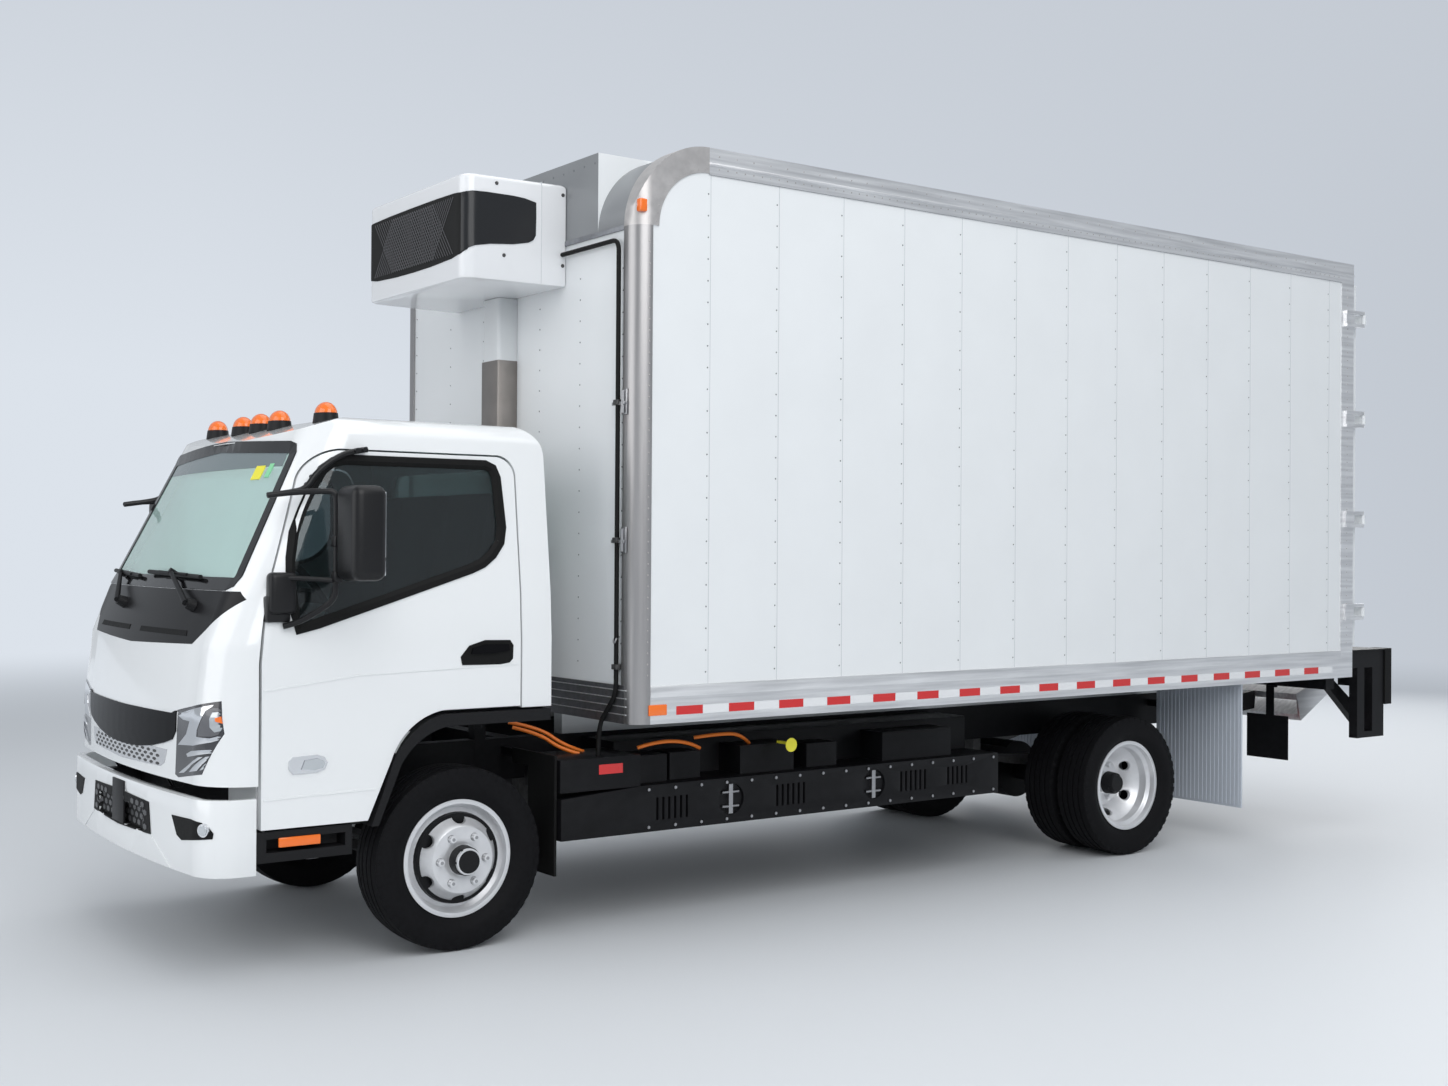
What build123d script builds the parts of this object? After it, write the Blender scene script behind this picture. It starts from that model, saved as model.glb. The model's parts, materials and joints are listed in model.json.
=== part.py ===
"""Refrigerated box truck with an electric cab-over chassis, stowed lift gate and nose-mounted cooler.

Lengths are millimetres. X runs back along the truck, -Y is the driver's (left) side, +Z is up and the
ground is Z = 0. PLAN, SIDE and FRONT are the three drawing planes: on them x is measured back from the
front axle, so the stations below read as distances behind (or, negative, ahead of) that axle.
"""
from build123d import *
import math
import os

os.makedirs("parts", exist_ok=True)

# ---- driving dimensions: whole truck ----------------------------------------------------------------
FRONT_OVERHANG = 1210      # bumper face to front axle
WHEELBASE = 4300
BOX_SETBACK = 724          # front axle to the box's front posts
BOX_LENGTH = 5550
BOX_WIDTH = 2438
BOX_BOTTOM = 976           # underside of the base rails
BOX_HEIGHT = 2681          # base rails' underside to top rails' upper face
DOCK_DEPTH = 460           # lift gate's dock frame behind the box

# ---- wheels and axles -------------------------------------------------------------------------------
FRONT_TRACK = 1665
REAR_TRACK = 1650          # between the middles of the twin sets
TWIN_SPACING = 257
TYRE_DIAMETER = 811
TYRE_WIDTH = 226
RIM_FLANGE_R = 260
RIM_SEAT_R = 247.6
RIM_WIDTH = 152            # between the flanges
RIM_LIP = 8                # flange thickness
RIM_GAUGE = 7              # barrel plate
DISC_GAUGE = 10
STUD_CIRCLE = 222.25
STUD_COUNT = 6
HUB_R = 76
HAND_HOLE = (62, 40)       # oval hand holes, along and across the circle
HAND_HOLE_CIRCLE_R = 176
SPINDLE_R = 34
SPINDLE_FIT = 0.05
KINGPIN_INSET = 110        # kingpin inboard of the front wheel's middle
KINGPIN_R = 19
STEER_BOSS_R = 40

# ---- ladder frame -----------------------------------------------------------------------------------
FRAME_WIDTH = 850
FRAME_TOP = 860
RAIL_HEIGHT = 200
RAIL_FLANGE = 70
RAIL_GAUGE = 8
FRAME_TAIL = 6110          # rear end of the rails
FRAME_NOSE = -1000
HORN_TOP = 745             # low extension that carries the bumper

# ---- cab --------------------------------------------------------------------------------------------
CAB_WIDTH = 1995
CAB_REAR = 420
CAB_ROOF = 2345
CAB_WALL = 45
CAB_SKIRT = 805            # lower edge of the front panel
CAB_DECK = 1065            # underside over the front wheels
CAB_FLOOR = 900            # underside of the foot well
DOOR_BOTTOM = 625
DOOR_FRONT = -926
DOOR_REAR = 262
SHUT_GAP = 8
GLASS = 6
GLASS_INSET = 12
TILT_X, TILT_Z = -1110, 850
TILT_PIN_R = 16
HINGE_X, HINGE_Y = -912, 983   # cab door hinge line
PIN_R = 8
STEP_TOP = 616

# ---- box construction -------------------------------------------------------------------------------
WALL = 75                  # side wall, roof and floor thickness
RAIL_PROUD = 6             # rails stand this far outside the side panels
NOSE_INSET = 12            # front wall lies this far behind the posts' faces
POST_R = 87                # rounded corner posts
CORNER_R = 400             # big radius of the nose at the roof
BASE_RAIL = 175
TOP_RAIL = 127
REAR_POST = 130            # rear frame's depth along the truck
DOORWAY_SIDE = 119         # rear frame's post width
DOORWAY_HEAD = 157
DOORWAY_SILL = 179
DOOR_GAP = 6
BAY = 406.4                # floor cross members' and side panels' pitch

# ---- cooler unit ------------------------------------------------------------------------------------
COOLER_WIDTH = 1140
COOLER_DEPTH = 540
COOLER_TOP = 3540
COOLER_BOTTOM = 3045
COOLER_TAPER = 30          # each side draws in by this much towards its face
DUCT_WIDTH = 170
DUCT_DEPTH = 110
CABLE_R = 11

# ---- worked-out stations ----------------------------------------------------------------------------
OVERALL_LENGTH = FRONT_OVERHANG + BOX_SETBACK + BOX_LENGTH + DOCK_DEPTH
AXLE_X = FRONT_OVERHANG - OVERALL_LENGTH / 2
AXLE_Z = TYRE_DIAMETER / 2
BOX_TAIL = BOX_SETBACK + BOX_LENGTH
BOX_TOP = BOX_BOTTOM + BOX_HEIGHT
BOX_HALF = BOX_WIDTH / 2
PANEL_Y = BOX_HALF - RAIL_PROUD
INNER_Y = PANEL_Y - WALL
FRAME_HALF = FRAME_WIDTH / 2
CAB_HALF = CAB_WIDTH / 2
DISC_OFFSET = TWIN_SPACING / 2
KINGPIN_Y = FRONT_TRACK / 2 - KINGPIN_INSET

PLAN = Plane(origin=(AXLE_X, 0, 0), x_dir=(1, 0, 0), z_dir=(0, 0, 1))
SIDE = Plane(origin=(AXLE_X, 0, 0), x_dir=(1, 0, 0), z_dir=(0, -1, 0))
FRONT = Plane(origin=(AXLE_X, 0, 0), x_dir=(0, 1, 0), z_dir=(1, 0, 0))
MIDDLE = Plane.XZ


def block(x, y, z, mode=Mode.ADD):
    """A rectangular block between three (low, high) pairs, x from the front axle."""
    with BuildSketch(PLAN.offset(z[0]), mode=Mode.PRIVATE) as base:
        with Locations(((x[0] + x[1]) / 2, (y[0] + y[1]) / 2)):
            Rectangle(x[1] - x[0], y[1] - y[0])
    extrude(base.sketch, amount=z[1] - z[0], mode=mode)


def side_prism(points, y, mode=Mode.ADD):
    """A side-view outline carried across from y[0] to y[1]."""
    with BuildSketch(SIDE.offset(-y[1]), mode=Mode.PRIVATE) as outline:
        with BuildLine():
            Polyline(*points, close=True)
        make_face()
    extrude(outline.sketch, amount=y[1] - y[0], mode=mode)


def bar(start, end, radius):
    """A round bar between two points, x from the front axle."""
    run = Vector(*end) - Vector(*start)
    foot = Plane(origin=(AXLE_X + start[0], start[1], start[2]), z_dir=run)
    with BuildSketch(foot, mode=Mode.PRIVATE) as section:
        Circle(radius)
    extrude(section.sketch, amount=run.length)


def save(part, label):
    """Label a finished piece and write it."""
    part.label = label
    export_step(part, f"parts/{label}.step")


# =====================================================================================================
# Wheels: x on a wheel plane is the truck's Y, y is the radius from the axle line
# =====================================================================================================
def wheel_plane(axle, middle):
    return Plane(origin=(AXLE_X + axle, middle, AXLE_Z), x_dir=(0, 1, 0), z_dir=(1, 0, 0))


def axle_line(axle):
    return Axis((AXLE_X + axle, 0, AXLE_Z), (0, 1, 0))


def tyre(axle, middle):
    """One tyre, its middle plane at Y = middle."""
    half = TYRE_WIDTH / 2
    crown = TYRE_DIAMETER / 2
    seat = RIM_SEAT_R + 0.3
    bead = RIM_WIDTH / 2 - 0.3
    with BuildSketch(wheel_plane(axle, middle), mode=Mode.PRIVATE) as section:
        with BuildLine():
            Line((-bead, seat), (bead, seat))
            Line((bead, seat), (bead, seat + 14))
            ThreePointArc((bead, seat + 14), (half, seat + 72), (half - 14, crown - 14))
            ThreePointArc((half - 14, crown - 14), (0, crown), (14 - half, crown - 14))
            ThreePointArc((14 - half, crown - 14), (-half, seat + 72), (-bead, seat + 14))
            Line((-bead, seat + 14), (-bead, seat))
        make_face()
    revolve(section.sketch, axis=axle_line(axle))


def rim(axle, middle, face):
    """One steel wheel: its barrel, and its disc bolted at DISC_OFFSET on the face side (+1 is +Y)."""
    edge = RIM_WIDTH / 2
    well = RIM_SEAT_R - 20
    gauge = RIM_GAUGE
    with BuildSketch(wheel_plane(axle, middle), mode=Mode.PRIVATE) as section:
        with BuildLine():
            Polyline(
                (-edge - RIM_LIP, RIM_FLANGE_R), (-edge, RIM_FLANGE_R), (-edge, RIM_SEAT_R),
                (-edge + 30, RIM_SEAT_R), (-edge + 42, well), (edge - 42, well),
                (edge - 30, RIM_SEAT_R), (edge, RIM_SEAT_R), (edge, RIM_FLANGE_R),
                (edge + RIM_LIP, RIM_FLANGE_R), (edge + RIM_LIP, RIM_SEAT_R - gauge),
                (edge - 26, RIM_SEAT_R - gauge), (edge - 40, well - gauge),
                (-edge + 40, well - gauge), (-edge + 26, RIM_SEAT_R - gauge),
                (-edge - RIM_LIP, RIM_SEAT_R - gauge), close=True)
        make_face()
        with BuildLine():
            Polyline(
                (face * 6, well), (face * 30, well), (face * 62, 196),
                (face * (DISC_OFFSET - 16), 160), (face * DISC_OFFSET, 146),
                (face * DISC_OFFSET, HUB_R - 1), (face * (DISC_OFFSET - DISC_GAUGE), HUB_R - 1),
                (face * (DISC_OFFSET - DISC_GAUGE), 142), (face * (DISC_OFFSET - 26), 154),
                (face * 50, 190), close=True)
        make_face()
    revolve(section.sketch, axis=axle_line(axle))


def disc_plane(axle, y):
    """A plane across the wheel at Y = y that faces outboard on the left side."""
    return Plane(origin=(AXLE_X + axle, y, AXLE_Z), x_dir=(1, 0, 0), z_dir=(0, -1, 0))


def hand_holes(axle, outer_y, inner_y):
    """Oval hand holes through the discs between two planes."""
    with BuildSketch(disc_plane(axle, outer_y), mode=Mode.PRIVATE) as holes:
        with PolarLocations(HAND_HOLE_CIRCLE_R, STUD_COUNT, start_angle=30):
            Ellipse(HAND_HOLE[1] / 2, HAND_HOLE[0] / 2)
    extrude(holes.sketch, amount=outer_y - inner_y, mode=Mode.SUBTRACT)


def hub_and_nuts(axle, face_y, inner_y, nose_y):
    """Hub drum, its nose, and the wheel nuts standing on the disc's outboard face at Y = face_y."""
    with BuildSketch(disc_plane(axle, inner_y), mode=Mode.PRIVATE) as drum:
        Circle(HUB_R)
    extrude(drum.sketch, amount=inner_y - face_y - 1)
    with BuildSketch(disc_plane(axle, face_y + 1), mode=Mode.PRIVATE) as nose:
        Circle(HUB_R - 12)
    extrude(nose.sketch, amount=face_y + 1 - nose_y, taper=6)
    with BuildSketch(disc_plane(axle, face_y + 2), mode=Mode.PRIVATE) as nuts:
        with PolarLocations(STUD_CIRCLE / 2, STUD_COUNT):
            RegularPolygon(17, 6)
    extrude(nuts.sketch, amount=26)
    with BuildSketch(disc_plane(axle, inner_y + 1), mode=Mode.PRIVATE) as bore:
        Circle(SPINDLE_R + SPINDLE_FIT)
    extrude(bore.sketch, amount=inner_y - face_y - 10, mode=Mode.SUBTRACT)


FRONT_MIDDLE = -FRONT_TRACK / 2
REAR_OUTER = -(REAR_TRACK + TWIN_SPACING) / 2
REAR_INNER = -(REAR_TRACK - TWIN_SPACING) / 2
REAR_FACE = -REAR_TRACK / 2
FRONT_FACE = FRONT_MIDDLE - DISC_OFFSET
FRONT_HUB_INNER = FRONT_MIDDLE + 20
REAR_HUB_INNER = REAR_FACE + 150

with BuildPart() as tyre_front_left:
    tyre(0, FRONT_MIDDLE)
with BuildPart() as tyre_front_right:
    mirror(tyre_front_left.part, about=MIDDLE)
with BuildPart() as rim_front_left:
    rim(0, FRONT_MIDDLE, -1)
    hub_and_nuts(0, FRONT_FACE, FRONT_HUB_INNER, FRONT_FACE - 62)
    hand_holes(0, FRONT_MIDDLE - 20, FRONT_FACE)
with BuildPart() as rim_front_right:
    mirror(rim_front_left.part, about=MIDDLE)

with BuildPart() as tyres_rear_left:
    tyre(WHEELBASE, REAR_OUTER)
    tyre(WHEELBASE, REAR_INNER)
with BuildPart() as tyres_rear_right:
    mirror(tyres_rear_left.part, about=MIDDLE)
with BuildPart() as rims_rear_left:
    rim(WHEELBASE, REAR_OUTER, 1)
    rim(WHEELBASE, REAR_INNER, -1)
    hub_and_nuts(WHEELBASE, REAR_FACE - DISC_GAUGE, REAR_HUB_INNER, REAR_FACE - 118)
    hand_holes(WHEELBASE, REAR_FACE + 110, REAR_FACE - 110)
with BuildPart() as rims_rear_right:
    mirror(rims_rear_left.part, about=MIDDLE)

# =====================================================================================================
# Axles, knuckles and springs
# =====================================================================================================
KNUCKLE_EAR = (46, 78)     # ears' inner and outer height above and below the axle line
KNUCKLE_WEB = (48, 74)     # web's inner and outer distance outboard of the kingpin
BEAM_SIDE = 40             # half width of the front axle beam
BEAM_DROP = 75             # beam's middle below the wheel centres
BEAM_HEIGHT = 80
SPRING_Y = 400
SPRING_WIDTH = 70

with BuildPart() as knuckle_left:
    for low, high in ((KNUCKLE_EAR[0], KNUCKLE_EAR[1]), (-KNUCKLE_EAR[1], -KNUCKLE_EAR[0])):
        with BuildSketch(PLAN.offset(AXLE_Z + low), mode=Mode.PRIVATE) as ear:
            with Locations((0, -KINGPIN_Y)):
                Circle(STEER_BOSS_R)
            with Locations((0, -KINGPIN_Y - KNUCKLE_WEB[0] / 2)):
                Rectangle(2 * STEER_BOSS_R, KNUCKLE_WEB[0])
        extrude(ear.sketch, amount=high - low)
    block((-STEER_BOSS_R, STEER_BOSS_R), (-KINGPIN_Y - KNUCKLE_WEB[1], -KINGPIN_Y - KNUCKLE_WEB[0]),
          (AXLE_Z - KNUCKLE_EAR[1], AXLE_Z + KNUCKLE_EAR[1]))
    bar((0, -KINGPIN_Y, AXLE_Z - KNUCKLE_EAR[1]), (0, -KINGPIN_Y, AXLE_Z + KNUCKLE_EAR[1]), KINGPIN_R)
    bar((0, -KINGPIN_Y - KNUCKLE_WEB[0], AXLE_Z), (0, FRONT_FACE + 14, AXLE_Z), SPINDLE_R)
    side_prism(((20, AXLE_Z - 78), (170, AXLE_Z - 78), (170, AXLE_Z - 52), (20, AXLE_Z - 52)),
               (-KINGPIN_Y - 20, -KINGPIN_Y + 20))
with BuildPart() as knuckle_right:
    mirror(knuckle_left.part, about=MIDDLE)

with BuildPart() as front_axle:
    beam_low = AXLE_Z - BEAM_DROP - BEAM_HEIGHT / 2
    reach = KINGPIN_Y - STEER_BOSS_R
    with BuildSketch(FRONT.offset(-BEAM_SIDE)):
        with BuildLine():
            Polyline((-reach - 6, AXLE_Z - 40), (-560, beam_low), (560, beam_low), (reach + 6, AXLE_Z - 40),
                     (reach + 6, AXLE_Z + 40), (520, beam_low + BEAM_HEIGHT),
                     (-520, beam_low + BEAM_HEIGHT), (-reach - 6, AXLE_Z + 40), close=True)
        make_face()
    extrude(amount=2 * BEAM_SIDE)
    for side in (-1, 1):
        x_low, x_high = sorted((side * (BEAM_SIDE + 1), side * 12))
        block((x_low, x_high), (-500, 500), (beam_low + 18, beam_low + BEAM_HEIGHT - 18), Mode.SUBTRACT)
    for y in (-KINGPIN_Y, KINGPIN_Y):
        with BuildSketch(PLAN.offset(AXLE_Z - 40), mode=Mode.PRIVATE) as boss:
            with Locations((0, y)):
                Circle(STEER_BOSS_R)
        extrude(boss.sketch, amount=80)
        with BuildSketch(PLAN.offset(AXLE_Z - 41), mode=Mode.PRIVATE) as bore:
            with Locations((0, y)):
                Circle(KINGPIN_R + SPINDLE_FIT)
        extrude(bore.sketch, amount=82, mode=Mode.SUBTRACT)

AXLE_TUBE_R = 62
with BuildPart() as rear_axle:
    tube_end = -REAR_HUB_INNER - 8
    bar((WHEELBASE, -tube_end, AXLE_Z), (WHEELBASE, tube_end, AXLE_Z), AXLE_TUBE_R)
    bar((WHEELBASE, REAR_FACE + 6, AXLE_Z), (WHEELBASE, -REAR_FACE - 6, AXLE_Z), SPINDLE_R)
    bar((WHEELBASE, -150, AXLE_Z), (WHEELBASE, 130, AXLE_Z), 175)
    bar((WHEELBASE - 210, -190, AXLE_Z + 30), (WHEELBASE - 210, 210, AXLE_Z + 30), 130)
    block((WHEELBASE - 200, WHEELBASE), (-120, 120), (AXLE_Z - 90, AXLE_Z + 110))

# springs: axle station, half length, leaf pack's lowest height at the axle, rise of the ends, pack depth
SPRINGS = ((0, 600, AXLE_Z - BEAM_DROP + BEAM_HEIGHT / 2, 170, 50),
           (WHEELBASE, 640, AXLE_Z + AXLE_TUBE_R, 90, 70))
EYE_R = 28
with BuildPart() as leaf_springs:
    for axle, half, low, rise, depth in SPRINGS:
        for y in (-SPRING_Y, SPRING_Y):
            with BuildSketch(SIDE.offset(-y - SPRING_WIDTH / 2), mode=Mode.PRIVATE) as leaf:
                with BuildLine():
                    ThreePointArc((axle - half, low + rise), (axle, low), (axle + half, low + rise))
                    Line((axle + half, low + rise), (axle + half, low + rise + 14))
                    ThreePointArc((axle + half, low + rise + 14), (axle, low + depth),
                                  (axle - half, low + rise + 14))
                    Line((axle - half, low + rise + 14), (axle - half, low + rise))
                make_face()
                with Locations((axle - half, low + rise + 7), (axle + half, low + rise + 7)):
                    Circle(EYE_R)
            extrude(leaf.sketch, amount=SPRING_WIDTH)
            for end in (axle - half, axle + half):
                block((end - 30, end + 30), (y - SPRING_WIDTH / 2, y + SPRING_WIDTH / 2),
                      (low + rise + 7, FRAME_TOP - RAIL_HEIGHT))

# =====================================================================================================
# Ladder frame
# =====================================================================================================
# cross members: station, half depth along x, low and high heights
CROSS_MEMBERS = ((-960, 40, 670, 850), (-330, 30, 700, 850), (560, 40, 680, 850), (1600, 35, 700, 850),
                 (2700, 35, 700, 850), (3620, 35, 700, 850), (4960, 35, 700, 850), (5700, 35, 680, 850))
FLAP_X = 5200
LAMP_X = 6090
PIVOT_X, PIVOT_Z = 5600, 720
ARM_Y = 500
with BuildPart() as ladder_frame:
    for side in (-1, 1):
        web = side * FRAME_HALF
        lip = side * (FRAME_HALF - RAIL_FLANGE)
        inner = side * (FRAME_HALF - RAIL_GAUGE)
        low = FRAME_TOP - RAIL_HEIGHT
        with BuildSketch(FRONT.offset(FRAME_NOSE), mode=Mode.PRIVATE) as channel:
            with BuildLine():
                Polyline((web, low), (lip, low), (lip, low + RAIL_GAUGE), (inner, low + RAIL_GAUGE),
                         (inner, FRAME_TOP - RAIL_GAUGE), (lip, FRAME_TOP - RAIL_GAUGE),
                         (lip, FRAME_TOP), (web, FRAME_TOP), close=True)
            make_face()
        extrude(channel.sketch, amount=FRAME_TAIL - FRAME_NOSE)
        y_low, y_high = sorted((web, lip))
        horn = ((-1158, 665), (-940, 665), (-940, FRAME_TOP), (-1000, FRAME_TOP), (-1060, HORN_TOP),
                (-1158, HORN_TOP))
        side_prism(horn, (y_low, y_high))
        ear = ((TILT_X + 20, HORN_TOP - 4), (TILT_X + 90, HORN_TOP - 4), (TILT_X + 28, TILT_Z + 24),
               (TILT_X - 24, TILT_Z + 24), (TILT_X - 26, TILT_Z - 24))
        for inboard in (FRAME_HALF - 62, FRAME_HALF - 14):
            e_low, e_high = sorted((side * inboard, side * (inboard + 12)))
            side_prism(ear, (e_low, e_high))
        bar((TILT_X, side * (FRAME_HALF - 60), TILT_Z), (TILT_X, side * (FRAME_HALF - 4), TILT_Z),
            TILT_PIN_R)
        # brackets for the flaps behind the front wheels, the rear flaps and the tail lamps
        for x, z, out in ((475, 800, 630), (FLAP_X + 14, 800, 900)):
            b_low, b_high = sorted((side * (FRAME_HALF - 2), side * out))
            block((x, x + 24), (b_low, b_high), (z - 20, z + 20))
        # lift gate's hanger with its pivot stub
        b_low, b_high = sorted((side * (FRAME_HALF - 1), side * (FRAME_HALF + 12)))
        block((PIVOT_X - 60, PIVOT_X + 60), (b_low, b_high), (PIVOT_Z - 60, 850))
        bar((PIVOT_X, side * (FRAME_HALF + 10), PIVOT_Z), (PIVOT_X, side * (ARM_Y + 40), PIVOT_Z), 22)
    for x, half, low, high in CROSS_MEMBERS:
        with BuildSketch(FRONT.offset(x - half), mode=Mode.PRIVATE) as member:
            with Locations((0, (low + high) / 2)):
                Rectangle(2 * FRAME_HALF - RAIL_GAUGE, high - low)
        extrude(member.sketch, amount=2 * half)
        block((x - half + 8, x + half + 1), (-FRAME_HALF + 90, FRAME_HALF - 90), (low + 8, high - 8),
              Mode.SUBTRACT)
    # hoop that the cab's rear rests on
    with BuildSketch(FRONT.offset(330), mode=Mode.PRIVATE) as hoop:
        with BuildLine():
            Polyline((-FRAME_HALF - 2, FRAME_TOP - 120), (-FRAME_HALF - 2, CAB_DECK - 0.3),
                     (FRAME_HALF + 2, CAB_DECK - 0.3), (FRAME_HALF + 2, FRAME_TOP - 120),
                     (FRAME_HALF - 60, FRAME_TOP - 120), (FRAME_HALF - 60, CAB_DECK - 60),
                     (-FRAME_HALF + 60, CAB_DECK - 60), (-FRAME_HALF + 60, FRAME_TOP - 120), close=True)
        make_face()
    extrude(hoop.sketch, amount=60)

# =====================================================================================================
# Battery packs and side boxes
# =====================================================================================================
PACK_FRONT, PACK_REAR = 930, 3280
PACK_LOW, PACK_HIGH = 440, 660
PACK_OUTER = 985
PACK_STEP = 720            # outer face of the upper half
PACK_TOP = 842
GUARD_FRONT = 484
PORT_X = (1444, 2369)      # round service ports in the guard
PORT_Z = 557
PORT_R = 76
# louvre groups in the guard: first slot's x, number of slots, height of the middle, slot length
LOUVRES = ((1010, 6, 545, 110), (1730, 6, 550, 110), (2560, 6, 555, 110), (2900, 5, 560, 100))
LOUVRE_PITCH = 34
LOUVRE_WIDTH = 14
# side boxes above the guard: x low, x high, |y| low, |y| high, z low, z high
SIDE_BOXES = ((484, 920, 640, 975, 668, 808), (960, 1120, 722, 900, 662, 790),
              (1150, 1330, 722, 880, 662, 790), (1560, 1900, 722, 900, 662, 800),
              (2000, 2200, 722, 880, 662, 780), (2500, 3000, 722, 900, 662, 810))
with BuildPart() as battery_packs:
    block((PACK_FRONT, PACK_REAR), (-PACK_OUTER, -FRAME_HALF), (PACK_LOW, PACK_HIGH))
    block((PACK_FRONT, PACK_REAR), (-PACK_STEP, -FRAME_HALF), (PACK_HIGH - 1, PACK_TOP))
    side_prism(((GUARD_FRONT, PACK_LOW), (PACK_FRONT + 1, PACK_LOW), (PACK_FRONT + 1, PACK_HIGH),
                (GUARD_FRONT, PACK_LOW + 190)), (-PACK_OUTER, -PACK_OUTER + 200))
    for x_low, x_high, y_low, y_high, z_low, z_high in SIDE_BOXES:
        block((x_low, x_high), (-y_high, -y_low), (z_low - 10, z_high))
    with BuildSketch(SIDE.offset(PACK_OUTER - 18), mode=Mode.PRIVATE) as ports:
        with Locations(*[(x, PORT_Z) for x in PORT_X]):
            Circle(PORT_R)
        for first, count, z, length in LOUVRES:
            with Locations(*[(first + i * LOUVRE_PITCH, z) for i in range(count)]):
                SlotOverall(length, LOUVRE_WIDTH, rotation=90)
    extrude(ports.sketch, amount=19, mode=Mode.SUBTRACT)
    mirror(about=MIDDLE)

# =====================================================================================================
# Bumper and its lower grille
# =====================================================================================================
BUMPER_TOP = 755
BUMPER_BOTTOM = 445
BUMPER_REAR = -945
BUMPER_BOW = 45
BUMPER_CORNER = 160
BUMPER_WALL = 40
INTAKE_HALF = 330          # central intake
INTAKE_Z = (555, 655)
PLATE_HOLES = 178          # registration plate's bolt spacing
PLATE_Z = 705


def nose_outline(nose, bow, corner, half, rear):
    """Plan outline of a bowed front with rounded corners, from the rear line forwards."""
    knee = half - corner
    turn = corner * math.sin(math.radians(45))
    left_knee, right_knee = (nose + bow, -knee), (nose + bow, knee)
    left_flank, right_flank = (nose + bow + corner, -half), (nose + bow + corner, half)
    left_turn = (nose + bow + corner - turn, -knee - turn)
    right_turn = (nose + bow + corner - turn, knee + turn)
    Polyline(left_flank, (rear, -half), (rear, half), right_flank)
    ThreePointArc(right_flank, right_turn, right_knee)
    ThreePointArc(right_knee, (nose, 0), left_knee)
    ThreePointArc(left_knee, left_turn, left_flank)


def nose_prism(inset, z_low, z_high, mode=Mode.ADD):
    with BuildSketch(PLAN.offset(z_low), mode=Mode.PRIVATE) as outline:
        with BuildLine():
            nose_outline(-FRONT_OVERHANG + inset, BUMPER_BOW, BUMPER_CORNER - inset, CAB_HALF - inset,
                         BUMPER_REAR)
        make_face()
    extrude(outline.sketch, amount=z_high - z_low, mode=mode)


with BuildPart() as front_bumper:
    nose_prism(0, BUMPER_BOTTOM, BUMPER_TOP)
    with BuildSketch(PLAN.offset(BUMPER_BOTTOM - 1), mode=Mode.PRIVATE) as hollow:
        with BuildLine():
            nose_outline(-FRONT_OVERHANG + BUMPER_WALL, BUMPER_BOW, BUMPER_CORNER - BUMPER_WALL,
                         CAB_HALF - BUMPER_WALL, BUMPER_REAR + 1)
        make_face()
    extrude(hollow.sketch, amount=BUMPER_TOP - BUMPER_BOTTOM + 2, mode=Mode.SUBTRACT)
    block((-FRONT_OVERHANG - 10, -1100), (-INTAKE_HALF, INTAKE_HALF), INTAKE_Z, Mode.SUBTRACT)
    with BuildSketch(FRONT.offset(-FRONT_OVERHANG - 5)):
        with Locations((-PLATE_HOLES / 2, PLATE_Z), (PLATE_HOLES / 2, PLATE_Z)):
            Circle(3.5)
    extrude(amount=60, mode=Mode.SUBTRACT)

with BuildPart() as bumper_grille:
    block((-1186, -1176), (-INTAKE_HALF + 0.3, INTAKE_HALF - 0.3), (INTAKE_Z[0] + 0.3, INTAKE_Z[1] - 0.3))

# =====================================================================================================
# Cab
# =====================================================================================================
# plan sections of the cab: height, nose x, bow, corner radius, half width
CAB_SECTIONS = ((600, -1190, 50, 220, CAB_HALF), (1080, -1187, 50, 220, CAB_HALF),
                (1370, -1155, 50, 220, CAB_HALF), (1580, -1075, 50, 210, CAB_HALF - 12),
                (2240, -750, 50, 200, CAB_HALF - 92), (2420, -661, 50, 200, CAB_HALF - 114))


def cab_roof_and_sill(inset):
    """Side outline: roof and rear wall drawn in by inset, skirt, door bottom and wheel arch as they are."""
    roof = CAB_ROOF - inset
    rear = CAB_REAR - inset
    ThreePointArc((-1000, roof - 285), (-730, roof - 90), (-450, roof))
    Line((-450, roof), (rear - 170, roof - 4))
    ThreePointArc((rear - 170, roof - 4), (rear - 50, roof - 45), (rear, roof - 150))
    Polyline((rear, roof - 150), (rear, CAB_DECK), (-120, CAB_DECK))
    ThreePointArc((-120, CAB_DECK), (-260, 1000), (-350, 870))
    Polyline((-350, 870), (-455, DOOR_BOTTOM), (DOOR_FRONT - 2, DOOR_BOTTOM), (DOOR_FRONT - 2, CAB_SKIRT),
             (-1300, CAB_SKIRT), (-1300, roof - 400), (-1000, roof - 285))


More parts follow.
